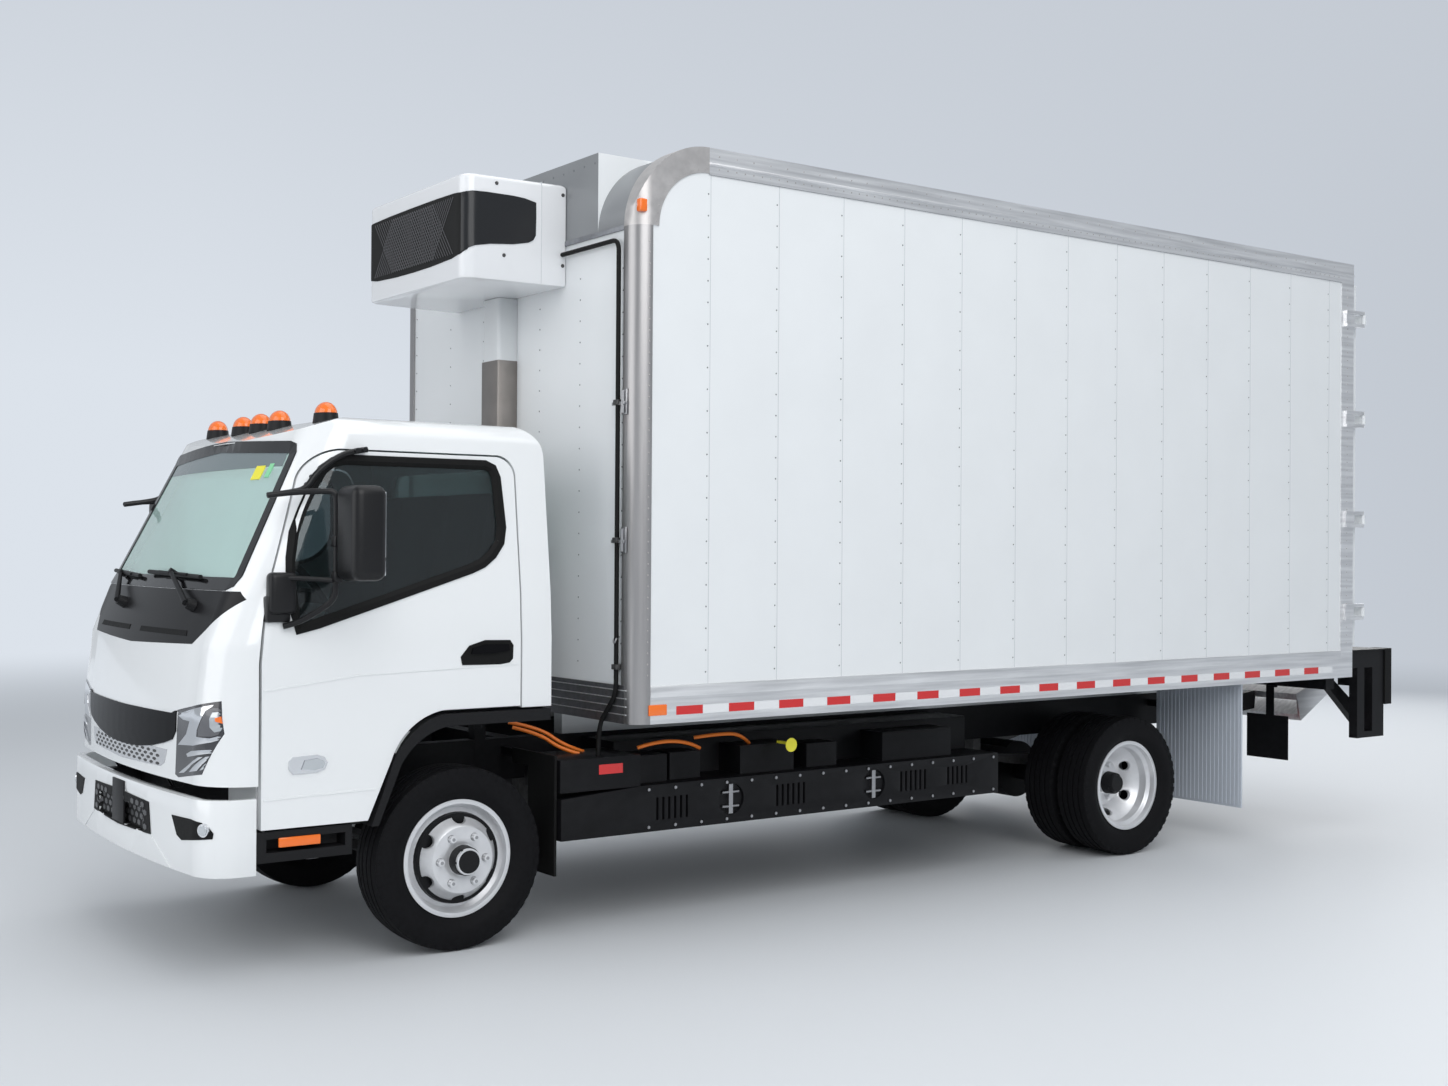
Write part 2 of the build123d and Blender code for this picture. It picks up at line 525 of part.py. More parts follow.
def cab_body(inset):
    """The cab's whole outer form, drawn in by inset at the sides, front, rear and roof."""
    with BuildPart() as body:
        for z, nose, bow, corner, half in CAB_SECTIONS:
            with BuildSketch(PLAN.offset(z)):
                with BuildLine():
                    nose_outline(nose + inset, bow, corner - inset, half - inset, CAB_REAR + 60)
                make_face()
        loft(ruled=True)
        with BuildSketch(SIDE) as outline:
            with BuildLine():
                cab_roof_and_sill(inset)
            make_face()
        extrude(amount=CAB_HALF + 10, both=True, mode=Mode.INTERSECT)
        with BuildSketch(FRONT.offset(-1400)):
            with BuildLine():
                roof, edge = CAB_ROOF - inset, CAB_HALF - inset
                Polyline((-edge - 40, 500), (edge + 40, 500), (edge + 40, roof - 180),
                         (edge - 86, roof - 130))
                ThreePointArc((edge - 86, roof - 130), (edge - 130, roof - 42), (edge - 240, roof - 12))
                ThreePointArc((edge - 240, roof - 12), (0, roof + 12), (240 - edge, roof - 12))
                ThreePointArc((240 - edge, roof - 12), (130 - edge, roof - 42), (86 - edge, roof - 130))
                Polyline((86 - edge, roof - 130), (-edge - 40, roof - 180), (-edge - 40, 500))
            make_face()
        extrude(amount=2200, mode=Mode.INTERSECT)
    return body.part


def door_outline(grow):
    """Side outline of a cab door, grown by grow on every edge."""
    front, rear, low = DOOR_FRONT - 1.5 * grow, DOOR_REAR + grow, DOOR_BOTTOM - grow
    head, sill = 2185 + grow, CAB_DECK + SHUT_GAP - grow
    Line((front, low), (front, 1300))
    ThreePointArc((front, 1300), (-906 - 1.3 * grow, 1480), (-868 - grow, 1660))
    Line((-868 - grow, 1660), (-740 - grow, 2040))
    ThreePointArc((-740 - grow, 2040), (-672 - 0.7 * grow, 2142 + 0.7 * grow), (-560, head))
    Line((-560, head), (170, head))
    ThreePointArc((170, head), (rear - 27, head - 27), (rear, head - 92))
    Polyline((rear, head - 92), (rear, sill), (-110, sill))
    ThreePointArc((-110, sill), (-265 + grow * 0.7, 1006 - grow * 0.7), (-358 + grow, 870))
    Polyline((-358 + grow, 870), (-463 + grow, low), (front, low))


def window_outline(shrink):
    """Side outline of the door window, shrunk by shrink."""
    head = 2140 - shrink
    Line((-770 + shrink, 1440 + shrink), (-795 + shrink, 1640))
    ThreePointArc((-795 + shrink, 1640), (-745 + shrink, 1890), (-630 + shrink, head - 42))
    ThreePointArc((-630 + shrink, head - 42), (-585 + shrink * 0.5, head - 10), (-530, head))
    Line((-530, head), (120, head))
    ThreePointArc((120, head), (152 - shrink * 0.7, head - 13), (165 - shrink, head - 50))
    Line((165 - shrink, head - 50), (180 - shrink, 1870))
    ThreePointArc((180 - shrink, 1870), (128 - shrink * 0.7, 1752 + shrink * 0.7), (20, 1690 + shrink))
    Line((20, 1690 + shrink), (-770 + shrink, 1440 + shrink))


def side_face(outline, amount, mode=Mode.ADD, y=-1050.0, size=0.0):
    """Fill a side outline at Y = y and carry it inboard by amount."""
    with BuildSketch(SIDE.offset(-y), mode=Mode.PRIVATE) as face:
        with BuildLine():
            outline(size)
        make_face()
    extrude(face.sketch, amount=-amount, mode=mode)


def windshield_outline(shrink):
    """Front view of the windshield opening."""
    foot, brow, low, high = 860 - shrink, 790 - shrink, 1605 + shrink, 2215 - shrink
    Line((-foot + 50, low), (foot - 50, low))
    ThreePointArc((foot - 50, low), (foot - 17, low + 14), (foot - 4, low + 50))
    Line((foot - 4, low + 50), (brow, high - 40))
    ThreePointArc((brow, high - 40), (brow - 20, high - 10), (brow - 60, high))
    ThreePointArc((brow - 60, high), (0, high + 30), (60 - brow, high))
    ThreePointArc((60 - brow, high), (20 - brow, high - 10), (-brow, high - 40))
    Line((-brow, high - 40), (4 - foot, low + 50))
    ThreePointArc((4 - foot, low + 50), (17 - foot, low + 14), (50 - foot, low))


REAR_WINDOW = (1250, 500, 1900)     # width, height, height of its middle
BEHIND_DOOR = CAB_HALF - CAB_WALL - SHUT_GAP

cab_outer = cab_body(0)
cab_inner = cab_body(CAB_WALL)
glass_outer = cab_body(GLASS_INSET)
glass_inner = cab_body(GLASS_INSET + GLASS)

# side outline of the space above the floor and the seat deck
CABIN = ((-1400, CAB_FLOOR + 40), (-440, CAB_FLOOR + 40), (-400, CAB_DECK + 40),
         (CAB_REAR + 10, CAB_DECK + 40), (CAB_REAR + 10, 2600), (-1400, 2600))
OUTSIDE = CAB_HALF + 20
with BuildPart() as cabin:
    add(cab_inner)
    side_prism(CABIN, (-OUTSIDE, OUTSIDE), Mode.INTERSECT)
with BuildPart() as doorways:
    side_face(door_outline, 2 * OUTSIDE, y=-OUTSIDE, size=SHUT_GAP)
    side_prism(CABIN, (-OUTSIDE, OUTSIDE), Mode.INTERSECT)
with BuildPart() as screen_opening:
    with BuildSketch(FRONT.offset(-1400)):
        with BuildLine():
            windshield_outline(0)
        make_face()
    extrude(amount=1000)
with BuildPart() as screen_glass:
    add(glass_outer)
    add(glass_inner, mode=Mode.SUBTRACT)
    with BuildSketch(FRONT.offset(-1400)):
        with BuildLine():
            windshield_outline(0.3)
        make_face()
    extrude(amount=1000, mode=Mode.INTERSECT)

# black cowl and band, and the headlamps, set flush into the nose; front views of their left halves
FACE_DEPTH = 16
COWL = ((-0.5, 1592), (-895, 1592), (-928, 1560), (-700, 1372), (-0.5, 1352))
BAND = ((-0.5, 1085), (-590, 1085), (-622, 1120), (-640, 1120), (-628, 950), (-622, 825), (-0.5, 825))
INSERT = ((-0.5, 945), (-530, 945), (-550, 905), (-520, 855), (-0.5, 855))
LAMP = ((-608, 1092), (-930, 1152), (-945, 1020), (-862, 852), (-660, 820), (-628, 830), (-634, 940),
        (-646, 1090))
with BuildPart() as nose_skin:
    add(cab_outer)
    add(cab_body(FACE_DEPTH), mode=Mode.SUBTRACT)
with BuildPart() as trim_blank:
    with BuildSketch(FRONT.offset(-1400)):
        for outline in (COWL, BAND):
            with BuildLine():
                Polyline(*outline, *[(-y, z) for y, z in reversed(outline)], close=True)
            make_face()
        with BuildLine():
            Polyline(*INSERT, *[(-y, z) for y, z in reversed(INSERT)], close=True)
        make_face(mode=Mode.SUBTRACT)
    extrude(amount=460)
with BuildPart() as lamp_blank:
    with BuildSketch(FRONT.offset(-1400)):
        with BuildLine():
            Polyline(*LAMP, close=True)
        make_face()
    extrude(amount=440)
    mirror(about=MIDDLE)
with BuildPart() as nose_trim:
    add(nose_skin.part)
    add(trim_blank.part, mode=Mode.INTERSECT)
with BuildPart() as headlamps:
    add(nose_skin.part)
    add(lamp_blank.part, mode=Mode.INTERSECT)
    add(nose_trim.part, mode=Mode.SUBTRACT)

with BuildPart() as cab_shell:
    add(cab_outer)
    add(cabin.part, mode=Mode.SUBTRACT)
    add(nose_trim.part, mode=Mode.SUBTRACT)
    add(headlamps.part, mode=Mode.SUBTRACT)
    # room for the frame below, and the wheels' front reach
    block((-1142, CAB_REAR + 10), (-620, 620), (500, CAB_FLOOR), Mode.SUBTRACT)
    block((-540, -300), (-OUTSIDE, OUTSIDE), (500, CAB_FLOOR), Mode.SUBTRACT)
    for side in (-1, 1):
        y_low, y_high = sorted((side * OUTSIDE, side * BEHIND_DOOR))
        side_face(door_outline, y_high - y_low, Mode.SUBTRACT, y_low, SHUT_GAP)
        y_low, y_high = sorted((side * OUTSIDE, side * 700))
        block((-890, -540), (y_low, y_high), (665, CAB_FLOOR), Mode.SUBTRACT)
        y_low, y_high = sorted((side * (FRAME_HALF - 75), side * (FRAME_HALF + 12)))
        block((-1165, -1140), (y_low, y_high), (500, CAB_FLOOR), Mode.SUBTRACT)
    add(doorways.part, mode=Mode.SUBTRACT)
    add(screen_opening.part, mode=Mode.SUBTRACT)
    with BuildSketch(FRONT.offset(CAB_REAR - 100)):
        with Locations((0, REAR_WINDOW[2])):
            RectangleRounded(REAR_WINDOW[0], REAR_WINDOW[1], 60)
    extrude(amount=200, mode=Mode.SUBTRACT)
    for side in (-1, 1):
        y_low, y_high = sorted((side * (FRAME_HALF - 48), side * (FRAME_HALF - 16)))
        side_prism(((TILT_X - 24, TILT_Z - 22), (TILT_X + 24, TILT_Z - 22), (TILT_X + 24, CAB_FLOOR + 2),
                    (TILT_X - 24, CAB_FLOOR + 2)), (y_low, y_high))
        with BuildSketch(SIDE.offset(-y_high)):
            with Locations((TILT_X, TILT_Z)):
                Circle(TILT_PIN_R + 0.05)
        extrude(amount=y_high - y_low, mode=Mode.SUBTRACT)

with BuildPart() as cab_glass:
    add(screen_glass.part)
    with BuildSketch(FRONT.offset(CAB_REAR - 26)):
        with Locations((0, REAR_WINDOW[2])):
            RectangleRounded(REAR_WINDOW[0] - 0.6, REAR_WINDOW[1] - 0.6, 60)
    extrude(amount=GLASS)

with BuildPart() as door_blank:
    side_face(door_outline, 300)
with BuildPart() as window_blank:
    side_face(window_outline, 400, size=0.3)

with BuildPart() as door_left:
    add(cab_outer)
    add(cab_inner, mode=Mode.SUBTRACT)
    add(door_blank.part, mode=Mode.INTERSECT)
    side_face(window_outline, 400, Mode.SUBTRACT)
    bar_bore = PIN_R + SPINDLE_FIT
    with BuildSketch(PLAN.offset(DOOR_BOTTOM - 1)):
        with Locations((HINGE_X, -HINGE_Y)):
            Circle(bar_bore)
    extrude(amount=46, mode=Mode.SUBTRACT)
with BuildPart() as door_right:
    mirror(door_left.part, about=MIDDLE)
with BuildPart() as door_glass_left:
    add(glass_outer)
    add(glass_inner, mode=Mode.SUBTRACT)
    add(window_blank.part, mode=Mode.INTERSECT)
with BuildPart() as door_glass_right:
    mirror(door_glass_left.part, about=MIDDLE)

# steps below the doors, with the hinge pins the doors turn on
with BuildPart() as cab_steps:
    block((-940, -530), (-CAB_HALF + 8, -860), (490, STEP_TOP))
    block((-926, -545), (-935, -860), (STEP_TOP - 1, DOOR_BOTTOM - 0.3))
    block((-900, -560), (-CAB_HALF - 1, -900), (530, 585), Mode.SUBTRACT)
    bar((HINGE_X, -HINGE_Y, STEP_TOP - 10), (HINGE_X, -HINGE_Y, DOOR_BOTTOM + 35), PIN_R)
    mirror(about=MIDDLE)


def flare_outline(drop, depth):
    """Side outline of a wheel arch flare under the door's rear edge."""
    Line((-452, 600), (-350 - drop * 0.3, 870 - drop * 0.7))
    ThreePointArc((-350 - drop * 0.3, 870 - drop * 0.7), (-260, 1000 - drop), (-120, CAB_DECK - drop))
    Polyline((-120, CAB_DECK - drop), (410, CAB_DECK - drop), (410, CAB_DECK - depth),
             (-95, CAB_DECK - depth))
    ThreePointArc((-95, CAB_DECK - depth), (-230, 948), (-318, 850))
    Polyline((-318, 850), (-420, 600), (-452, 600))


with BuildPart() as arch_flares:
    with BuildSketch(SIDE.offset(CAB_HALF + 14)):
        with BuildLine():
            flare_outline(10, 62)
        make_face()
    extrude(amount=-75)
    with BuildSketch(SIDE.offset(BEHIND_DOOR - 4)):
        with BuildLine():
            flare_outline(0.3, 62)
        make_face()
    extrude(amount=-60)
    mirror(about=MIDDLE)

# =====================================================================================================
# Cab interior
# =====================================================================================================
SEAT_ROWS = ((-800, -330), (-250, 800))
with BuildPart() as seats:
    for y_low, y_high in SEAT_ROWS:
        cushion = ((-390, CAB_DECK + 40.3), (190, CAB_DECK + 40.3), (190, 1390), (-390, 1420))
        side_prism(cushion, (y_low, y_high))
        back = ((60, 1380), (190, 1380), (300, 2030), (215, 2030))
        side_prism(back, (y_low, y_high))

DASH_HALF = 938            # leaves the doors' inner corners room to swing
with BuildPart() as dashboard:
    add(cab_body(CAB_WALL + 1))
    side_prism(((-1300, 1250), (-1300, 1560), (-900, 1560), (-700, 1480), (-640, 1400), (-660, 1250)),
               (-OUTSIDE, OUTSIDE), Mode.INTERSECT)
    for side in (-1, 1):
        y_low, y_high = sorted((side * DASH_HALF, side * OUTSIDE))
        block((-960, -600), (y_low, y_high), (1240, 1570), Mode.SUBTRACT)
    block((-1000, -880), (-60, 60), (CAB_FLOOR + 40.3, 1251))
    bar((-900, -565, 1350), (-590, -565, 1560), 28)
    wheel_axis = Plane(origin=(AXLE_X - 592, -565, 1558), z_dir=(310, 0, 210))
    with BuildSketch(wheel_axis):
        Circle(215)
        Circle(190, mode=Mode.SUBTRACT)
        Rectangle(60, 400)
    extrude(amount=24)

# =====================================================================================================
# Door mirrors
# =====================================================================================================
with BuildPart() as mirror_left:
    with BuildSketch(PLAN.offset(1640)):
        with Locations((-611, -1250)):
            RectangleRounded(120, 210, 45)
    extrude(amount=385)
    bar((-812, -999, 1560), (-640, -1200, 1700), 12)
    block((-850, -770), (-1001, -989.4), (1520, 1600))
    bar((-600, -1225, 2005), (-600, -1225, 2160), 14)
    bar((-600, -1240, 2145), (-600, -915.4, 2145), 11)
with BuildPart() as mirror_right:
    mirror(mirror_left.part, about=MIDDLE)

# =====================================================================================================
# Insulated box
# =====================================================================================================
NOSE_X = BOX_SETBACK
CORNER_X = BOX_SETBACK + CORNER_R
CORNER_Z = BOX_TOP - CORNER_R
SHELL_END = BOX_TAIL - REAR_POST
NOSE_FLAT = 860            # the nose is square-topped inboard of this


def box_form(inset_x, inset_y, inset_z, corner, low, rear):
    """The box's outer form drawn in: rounded front corners in plan, the big radius in side view."""
    front, half, top = NOSE_X + inset_x, BOX_HALF - inset_y, BOX_TOP - inset_z
    radius = CORNER_R - inset_x
    turn = math.sin(math.radians(45))
    bulge = corner * (1 - turn)
    with BuildPart() as profile:
        with BuildSketch(SIDE.offset(-BOX_HALF - 5)):
            with BuildLine():
                Polyline((CORNER_X, CORNER_Z + radius), (rear, top), (rear, low), (front, low),
                         (front, CORNER_Z))
                ThreePointArc((front, CORNER_Z), (CORNER_X - radius * turn, CORNER_Z + radius * turn),
                              (CORNER_X, CORNER_Z + radius))
            make_face()
        extrude(amount=BOX_WIDTH + 10)
    with BuildPart() as form:
        with BuildSketch(PLAN.offset(low)):
            with BuildLine():
                Polyline((front + corner, -half), (rear, -half), (rear, half), (front + corner, half))
                ThreePointArc((front + corner, half), (front + bulge, half - bulge), (front, half - corner))
                Line((front, half - corner), (front, corner - half))
                ThreePointArc((front, corner - half), (front + bulge, bulge - half), (front + corner, -half))
            make_face()
        extrude(amount=top - low)
        add(profile.part, mode=Mode.INTERSECT)
    return form.part


shell_form = box_form(NOSE_INSET, RAIL_PROUD, NOSE_INSET, POST_R - NOSE_INSET, BOX_BOTTOM, SHELL_END)
frame_form = box_form(0, 0, 0, POST_R, BOX_BOTTOM, SHELL_END)
space_form = box_form(NOSE_INSET + WALL, RAIL_PROUD + WALL, NOSE_INSET + WALL, 20, BOX_BOTTOM - 5,
                      SHELL_END + 5)
FLOOR_TOP = BOX_BOTTOM + BASE_RAIL
with BuildPart() as box_shell:
    add(shell_form)
    block((NOSE_X + NOSE_INSET, CORNER_X + 60), (-NOSE_FLAT, NOSE_FLAT),
          (CORNER_Z - 60, BOX_TOP - NOSE_INSET))
    add(space_form, mode=Mode.SUBTRACT)

with BuildPart() as frame_zones:
    block((NOSE_X, SHELL_END), (-BOX_HALF, BOX_HALF), (BOX_BOTTOM, FLOOR_TOP))
    for side in (-1, 1):
        y_low, y_high = sorted((side * 1107, side * BOX_HALF))
        block((NOSE_X, NOSE_X + POST_R), (y_low, y_high), (BOX_BOTTOM, CORNER_Z))
        block((CORNER_X, SHELL_END), (y_low, y_high), (BOX_TOP - TOP_RAIL, BOX_TOP))
        with BuildSketch(SIDE.offset(-y_high)):
            with BuildLine():
                casting_r = CORNER_R - 120
                turn = math.sin(math.radians(45))
                Polyline((CORNER_X, CORNER_Z + casting_r), (CORNER_X, BOX_TOP), (NOSE_X, BOX_TOP),
                         (NOSE_X, CORNER_Z), (CORNER_X - casting_r, CORNER_Z))
                ThreePointArc((CORNER_X - casting_r, CORNER_Z),
                              (CORNER_X - casting_r * turn, CORNER_Z + casting_r * turn),
                              (CORNER_X, CORNER_Z + casting_r))
            make_face()
        extrude(amount=y_high - y_low)

# cargo door hinges: knuckle lugs standing off the rear posts
DOOR_THICK = 60
SWING_X = BOX_TAIL + 71
SWING_Y = BOX_HALF + 26
DOOR_LOW = BOX_BOTTOM + DOORWAY_SILL + 27
DOOR_HIGH = BOX_TOP - DOORWAY_HEAD + 30
STRAP_Z = (1400, 2000, 2650, 3300)
with BuildPart() as door_hinge_posts:
    for z in STRAP_Z:
        for low, high in ((z - 52, z - 30.5), (z + 30.5, z + 52)):
            with BuildSketch(PLAN.offset(low)):
                with BuildLine():
                    Polyline((BOX_TAIL - 100, -BOX_HALF), (BOX_TAIL - 100, -BOX_HALF - 20),
                             (SWING_X - 10, -SWING_Y - 14), (SWING_X + 14, -SWING_Y),
                             (SWING_X, -SWING_Y + 14), (BOX_TAIL + 30, -BOX_HALF), close=True)
                make_face()
            extrude(amount=high - low)
        block((BOX_TAIL - 100, BOX_TAIL - 10), (-BOX_HALF - 14, -BOX_HALF), (z - 50, z + 50))
        bar((SWING_X, -SWING_Y, z - 52), (SWING_X, -SWING_Y, z + 52), 7)
    mirror(about=MIDDLE)

with BuildPart() as box_frame:
    add(frame_form)
    add(shell_form, mode=Mode.SUBTRACT)
    add(frame_zones.part, mode=Mode.INTERSECT)
    # rear frame with its doorway
    block((SHELL_END, BOX_TAIL), (-BOX_HALF, BOX_HALF), (BOX_BOTTOM, BOX_TOP))
    block((SHELL_END - 1, BOX_TAIL + 1), (-BOX_HALF + DOORWAY_SIDE, BOX_HALF - DOORWAY_SIDE),
          (BOX_BOTTOM + DOORWAY_SILL, BOX_TOP - DOORWAY_HEAD), Mode.SUBTRACT)
    add(door_hinge_posts.part)

with BuildPart() as cargo_floor:
    block((NOSE_X + NOSE_INSET + WALL + 0.3, SHELL_END - 0.3), (-INNER_Y + 0.3, INNER_Y - 0.3),
          (FLOOR_TOP - 75, FLOOR_TOP))
    fillet(cargo_floor.edges().filter_by(Axis.Z).group_by(Axis.X)[0], 21)
    bearer = CORNER_X
    while bearer < SHELL_END - 60:
        block((bearer - 25, bearer + 25), (-INNER_Y + 0.3, INNER_Y - 0.3), (BOX_BOTTOM, FLOOR_TOP - 74))
        bearer += BAY
    for y in (-FRAME_HALF + 40, FRAME_HALF - 40):
        block((NOSE_X + 90, BOX_TAIL - 180), (y - 38, y + 38), (FRAME_TOP + 0.3, BOX_BOTTOM - 0.3))

# =====================================================================================================
# Cooler unit on the nose
# =====================================================================================================
with BuildPart() as cooler_housing:
    wall_x = NOSE_X + NOSE_INSET - 0.3
    face_x = NOSE_X + NOSE_INSET - COOLER_DEPTH
    half = COOLER_WIDTH / 2
    with BuildSketch(PLAN.offset(COOLER_BOTTOM)):
        with BuildLine():
            Polyline((wall_x, -half), (wall_x, half), (face_x, half - COOLER_TAPER),
                     (face_x, COOLER_TAPER - half), close=True)
        make_face()
    extrude(amount=COOLER_TOP - COOLER_BOTTOM)
    fillet(cooler_housing.edges().filter_by(Axis.Z).group_by(Axis.X)[0], 65)
    fillet(cooler_housing.faces().sort_by(Axis.Z)[-1].edges(), 22)

with BuildPart() as air_duct:
    block((NOSE_X + NOSE_INSET - DUCT_DEPTH, NOSE_X + NOSE_INSET - 0.3), (-DUCT_WIDTH / 2, DUCT_WIDTH / 2),
          (1300, COOLER_BOTTOM - 0.3))
    fillet(air_duct.edges().filter_by(Axis.Z).group_by(Axis.X)[0], 20)

CABLE_X = NOSE_X - CABLE_R - 1
CABLE_Y = -1083
CLIPS_Z = (2450, 1817, 1235)
with BuildPart() as cooler_cable:
    cable_plane = Plane(origin=(AXLE_X + CABLE_X, 0, 0), x_dir=(0, 1, 0), z_dir=(1, 0, 0))
    with BuildLine(cable_plane) as run:
        FilletPolyline((-COOLER_WIDTH / 2 - 0.4, 3200), (CABLE_Y, 3200), (CABLE_Y, 1110), (-930, 950),
                       (-930, 808.3), radius=55)
    start = Plane(origin=(AXLE_X + CABLE_X, -COOLER_WIDTH / 2 - 0.4, 3200), z_dir=(0, -1, 0))
    with BuildSketch(start):
        Circle(CABLE_R)
    sweep(path=run.line)
    for z in CLIPS_Z:
        block((CABLE_X - CABLE_R - 3, NOSE_X + NOSE_INSET - 0.3), (CABLE_Y - 20, CABLE_Y + 20),
              (z - 12, z + 12))

# =====================================================================================================
# Cargo doors
# =====================================================================================================
with BuildPart() as cargo_door_left:
    slab = BOX_TAIL + 0.5
    block((slab, slab + DOOR_THICK), (-BOX_HALF + 24, -DOOR_GAP / 2), (DOOR_LOW, DOOR_HIGH))
    for z in STRAP_Z:
        block((slab + DOOR_THICK - 1, slab + DOOR_THICK + 9), (-SWING_Y, -900), (z - 30, z + 30))
        with BuildSketch(PLAN.offset(z - 30)):
            with Locations((SWING_X, -SWING_Y)):
                Circle(14)
        extrude(amount=60)
        with BuildSketch(PLAN.offset(z - 31)):
            with Locations((SWING_X, -SWING_Y)):
                Circle(7.05)
        extrude(amount=62, mode=Mode.SUBTRACT)
    for y in (-260, -760):
        bar((slab + DOOR_THICK + 14, y, DOOR_LOW + 20), (slab + DOOR_THICK + 14, y, DOOR_HIGH - 20), 13)
        for z in (1300, 2300, 3300):
            block((slab + DOOR_THICK - 1, slab + DOOR_THICK + 20), (y - 40, y + 40), (z - 30, z + 30))
with BuildPart() as cargo_door_right:
    mirror(cargo_door_left.part, about=MIDDLE)

# =====================================================================================================
# Dock frame behind the box, and the stowed lift gate
# =====================================================================================================
DOCK_REAR = BOX_TAIL + DOCK_DEPTH
DOCK_TOP = 1150
HOOP_Y = (1140, 1200)
with BuildPart() as dock_frame:
    block((BOX_TAIL + 0.3, DOCK_REAR - 74), (-BOX_HALF, BOX_HALF), (DOCK_TOP - 10, DOCK_TOP))
    block((SHELL_END - 40, BOX_TAIL - 80), (-1140, 1140), (895, BOX_BOTTOM - 0.3))
    for y in (-730, 730):
        block((LAMP_X - 6, SHELL_END - 20), (y - 30, y + 30), (884, 895.5))
        block((LAMP_X - 6, LAMP_X), (y - 30, y + 30), (690, 890))
        block((LAMP_X - 6, LAMP_X), (y - 140, y + 180), (410, 700))
    for side in (-1, 1):
        y_low, y_high = sorted((side * HOOP_Y[0], side * HOOP_Y[1]))
        hoop_outline = ((BOX_TAIL + 86, 570), (DOCK_REAR - 74, 570), (DOCK_REAR - 74, DOCK_TOP - 9),
                        (BOX_TAIL + 0.3, DOCK_TOP - 9), (BOX_TAIL + 0.3, 1030), (BOX_TAIL + 86, 1030))
        side_prism(hoop_outline, (y_low, y_high))
        block((BOX_TAIL + 166, BOX_TAIL + 256), (y_low - 1, y_high + 1), (610, 1030), Mode.SUBTRACT)
        y_low, y_high = sorted((side * 940, side * HOOP_Y[1]))
        block((BOX_TAIL + 260, DOCK_REAR - 74), (y_low, y_high), (895, 965))
        y_low, y_high = sorted((side * 1030, side * HOOP_Y[0]))
        block((BOX_TAIL + 266, DOCK_REAR - 120), (y_low, y_high), (600, 680))
        side_prism(((SHELL_END + 30, 940), (SHELL_END + 110, 965), (BOX_TAIL + 330, 720),
                    (BOX_TAIL + 270, 640)), sorted((side * 1030, side * 1080)))
with BuildPart() as dock_bumpers:
    block((DOCK_REAR - 73.7, DOCK_REAR), (-1210, -1090), (780, DOCK_TOP))
    mirror(about=MIDDLE)

with BuildPart() as lift_arms:
    for side in (-1, 1):
        y_low, y_high = sorted((side * (ARM_Y - 20), side * (ARM_Y + 20)))
        arm = ((PIVOT_X - 50, PIVOT_Z - 45), (PIVOT_X + 40, PIVOT_Z - 50), (6205, 720), (6214.7, 799.9),
               (6199.7, 840.9), (6150, 835), (PIVOT_X + 10, PIVOT_Z + 50), (PIVOT_X - 50, PIVOT_Z + 45))
        side_prism(arm, (y_low, y_high))
        with BuildSketch(SIDE.offset(-y_high)):
            with Locations((PIVOT_X, PIVOT_Z)):
                Circle(22.05)
        extrude(amount=40, mode=Mode.SUBTRACT)
with BuildPart() as gate_platform:
    side_prism(((6200, 841), (6215, 800), (6465, 885), (6450, 925)), (-850, 850))
    side_prism(((6240.3, 700), (6255, 662), (6560, 830), (6545, 868)), (-850, 850))
    for side in (-1, 1):
        side_prism(((6215, 835), (6241, 690), (6550, 860), (6460, 915)), sorted((side * 838, side * 850)))

# flaps behind the front wheels and ahead of the rear wheels' splash
with BuildPart() as mud_flaps:
    block((462, 474.7), (-960, -715), (280, 762))
    block((462, 474.7), (-960, -560), (760, 830))
    block((FLAP_X, FLAP_X + 13.7), (-1160, -510), (210, 975))
    mirror(about=MIDDLE)

with BuildPart() as tie_rod:
    low = AXLE_Z - 78 - 0.5
    bar((150, -KINGPIN_Y, low - 18), (150, KINGPIN_Y, low - 18), 14)
    for y in (-KINGPIN_Y, KINGPIN_Y):
        with BuildSketch(PLAN.offset(low - 36)):
            with Locations((150, y)):
                Circle(26)
        extrude(amount=36)

for part, label in ((tyre_front_left, "tyre_front_left"), (tyre_front_right, "tyre_front_right"),
                    (rim_front_left, "rim_front_left"), (rim_front_right, "rim_front_right"),
                    (tyres_rear_left, "tyres_rear_left"), (tyres_rear_right, "tyres_rear_right"),
                    (rims_rear_left, "rims_rear_left"), (rims_rear_right, "rims_rear_right"),
                    (knuckle_left, "knuckle_left"), (knuckle_right, "knuckle_right"),
                    (tie_rod, "tie_rod"), (front_axle, "front_axle"), (rear_axle, "rear_axle"),
                    (leaf_springs, "leaf_springs"), (ladder_frame, "ladder_frame"),
                    (battery_packs, "battery_packs"), (front_bumper, "front_bumper"),
                    (cab_shell, "cab_shell"), (cab_glass, "cab_glass"), (cab_steps, "cab_steps"),
                    (arch_flares, "arch_flares"), (seats, "seats"), (dashboard, "dashboard"),
                    (door_left, "cab_door_left"),
                    (door_right, "cab_door_right"), (door_glass_left, "door_glass_left"),
                    (door_glass_right, "door_glass_right"), (mirror_left, "mirror_left"),
                    (mirror_right, "mirror_right"), (box_shell, "box_shell"), (box_frame, "box_frame"),
                    (cargo_floor, "cargo_floor"), (cargo_door_left, "cargo_door_left"),
                    (cargo_door_right, "cargo_door_right"), 
                    (cooler_housing, "cooler_housing"), (air_duct, "air_duct"),
                    (cooler_cable, "cooler_cable"), (dock_frame, "dock_frame"),
                    (dock_bumpers, "dock_bumpers"), (lift_arms, "lift_arms"),
                    (gate_platform, "gate_platform"), (mud_flaps, "mud_flaps"),
                    (bumper_grille, "bumper_grille"), (nose_trim, "nose_trim"),
                    (headlamps, "headlamps")):
    save(part.part, label)
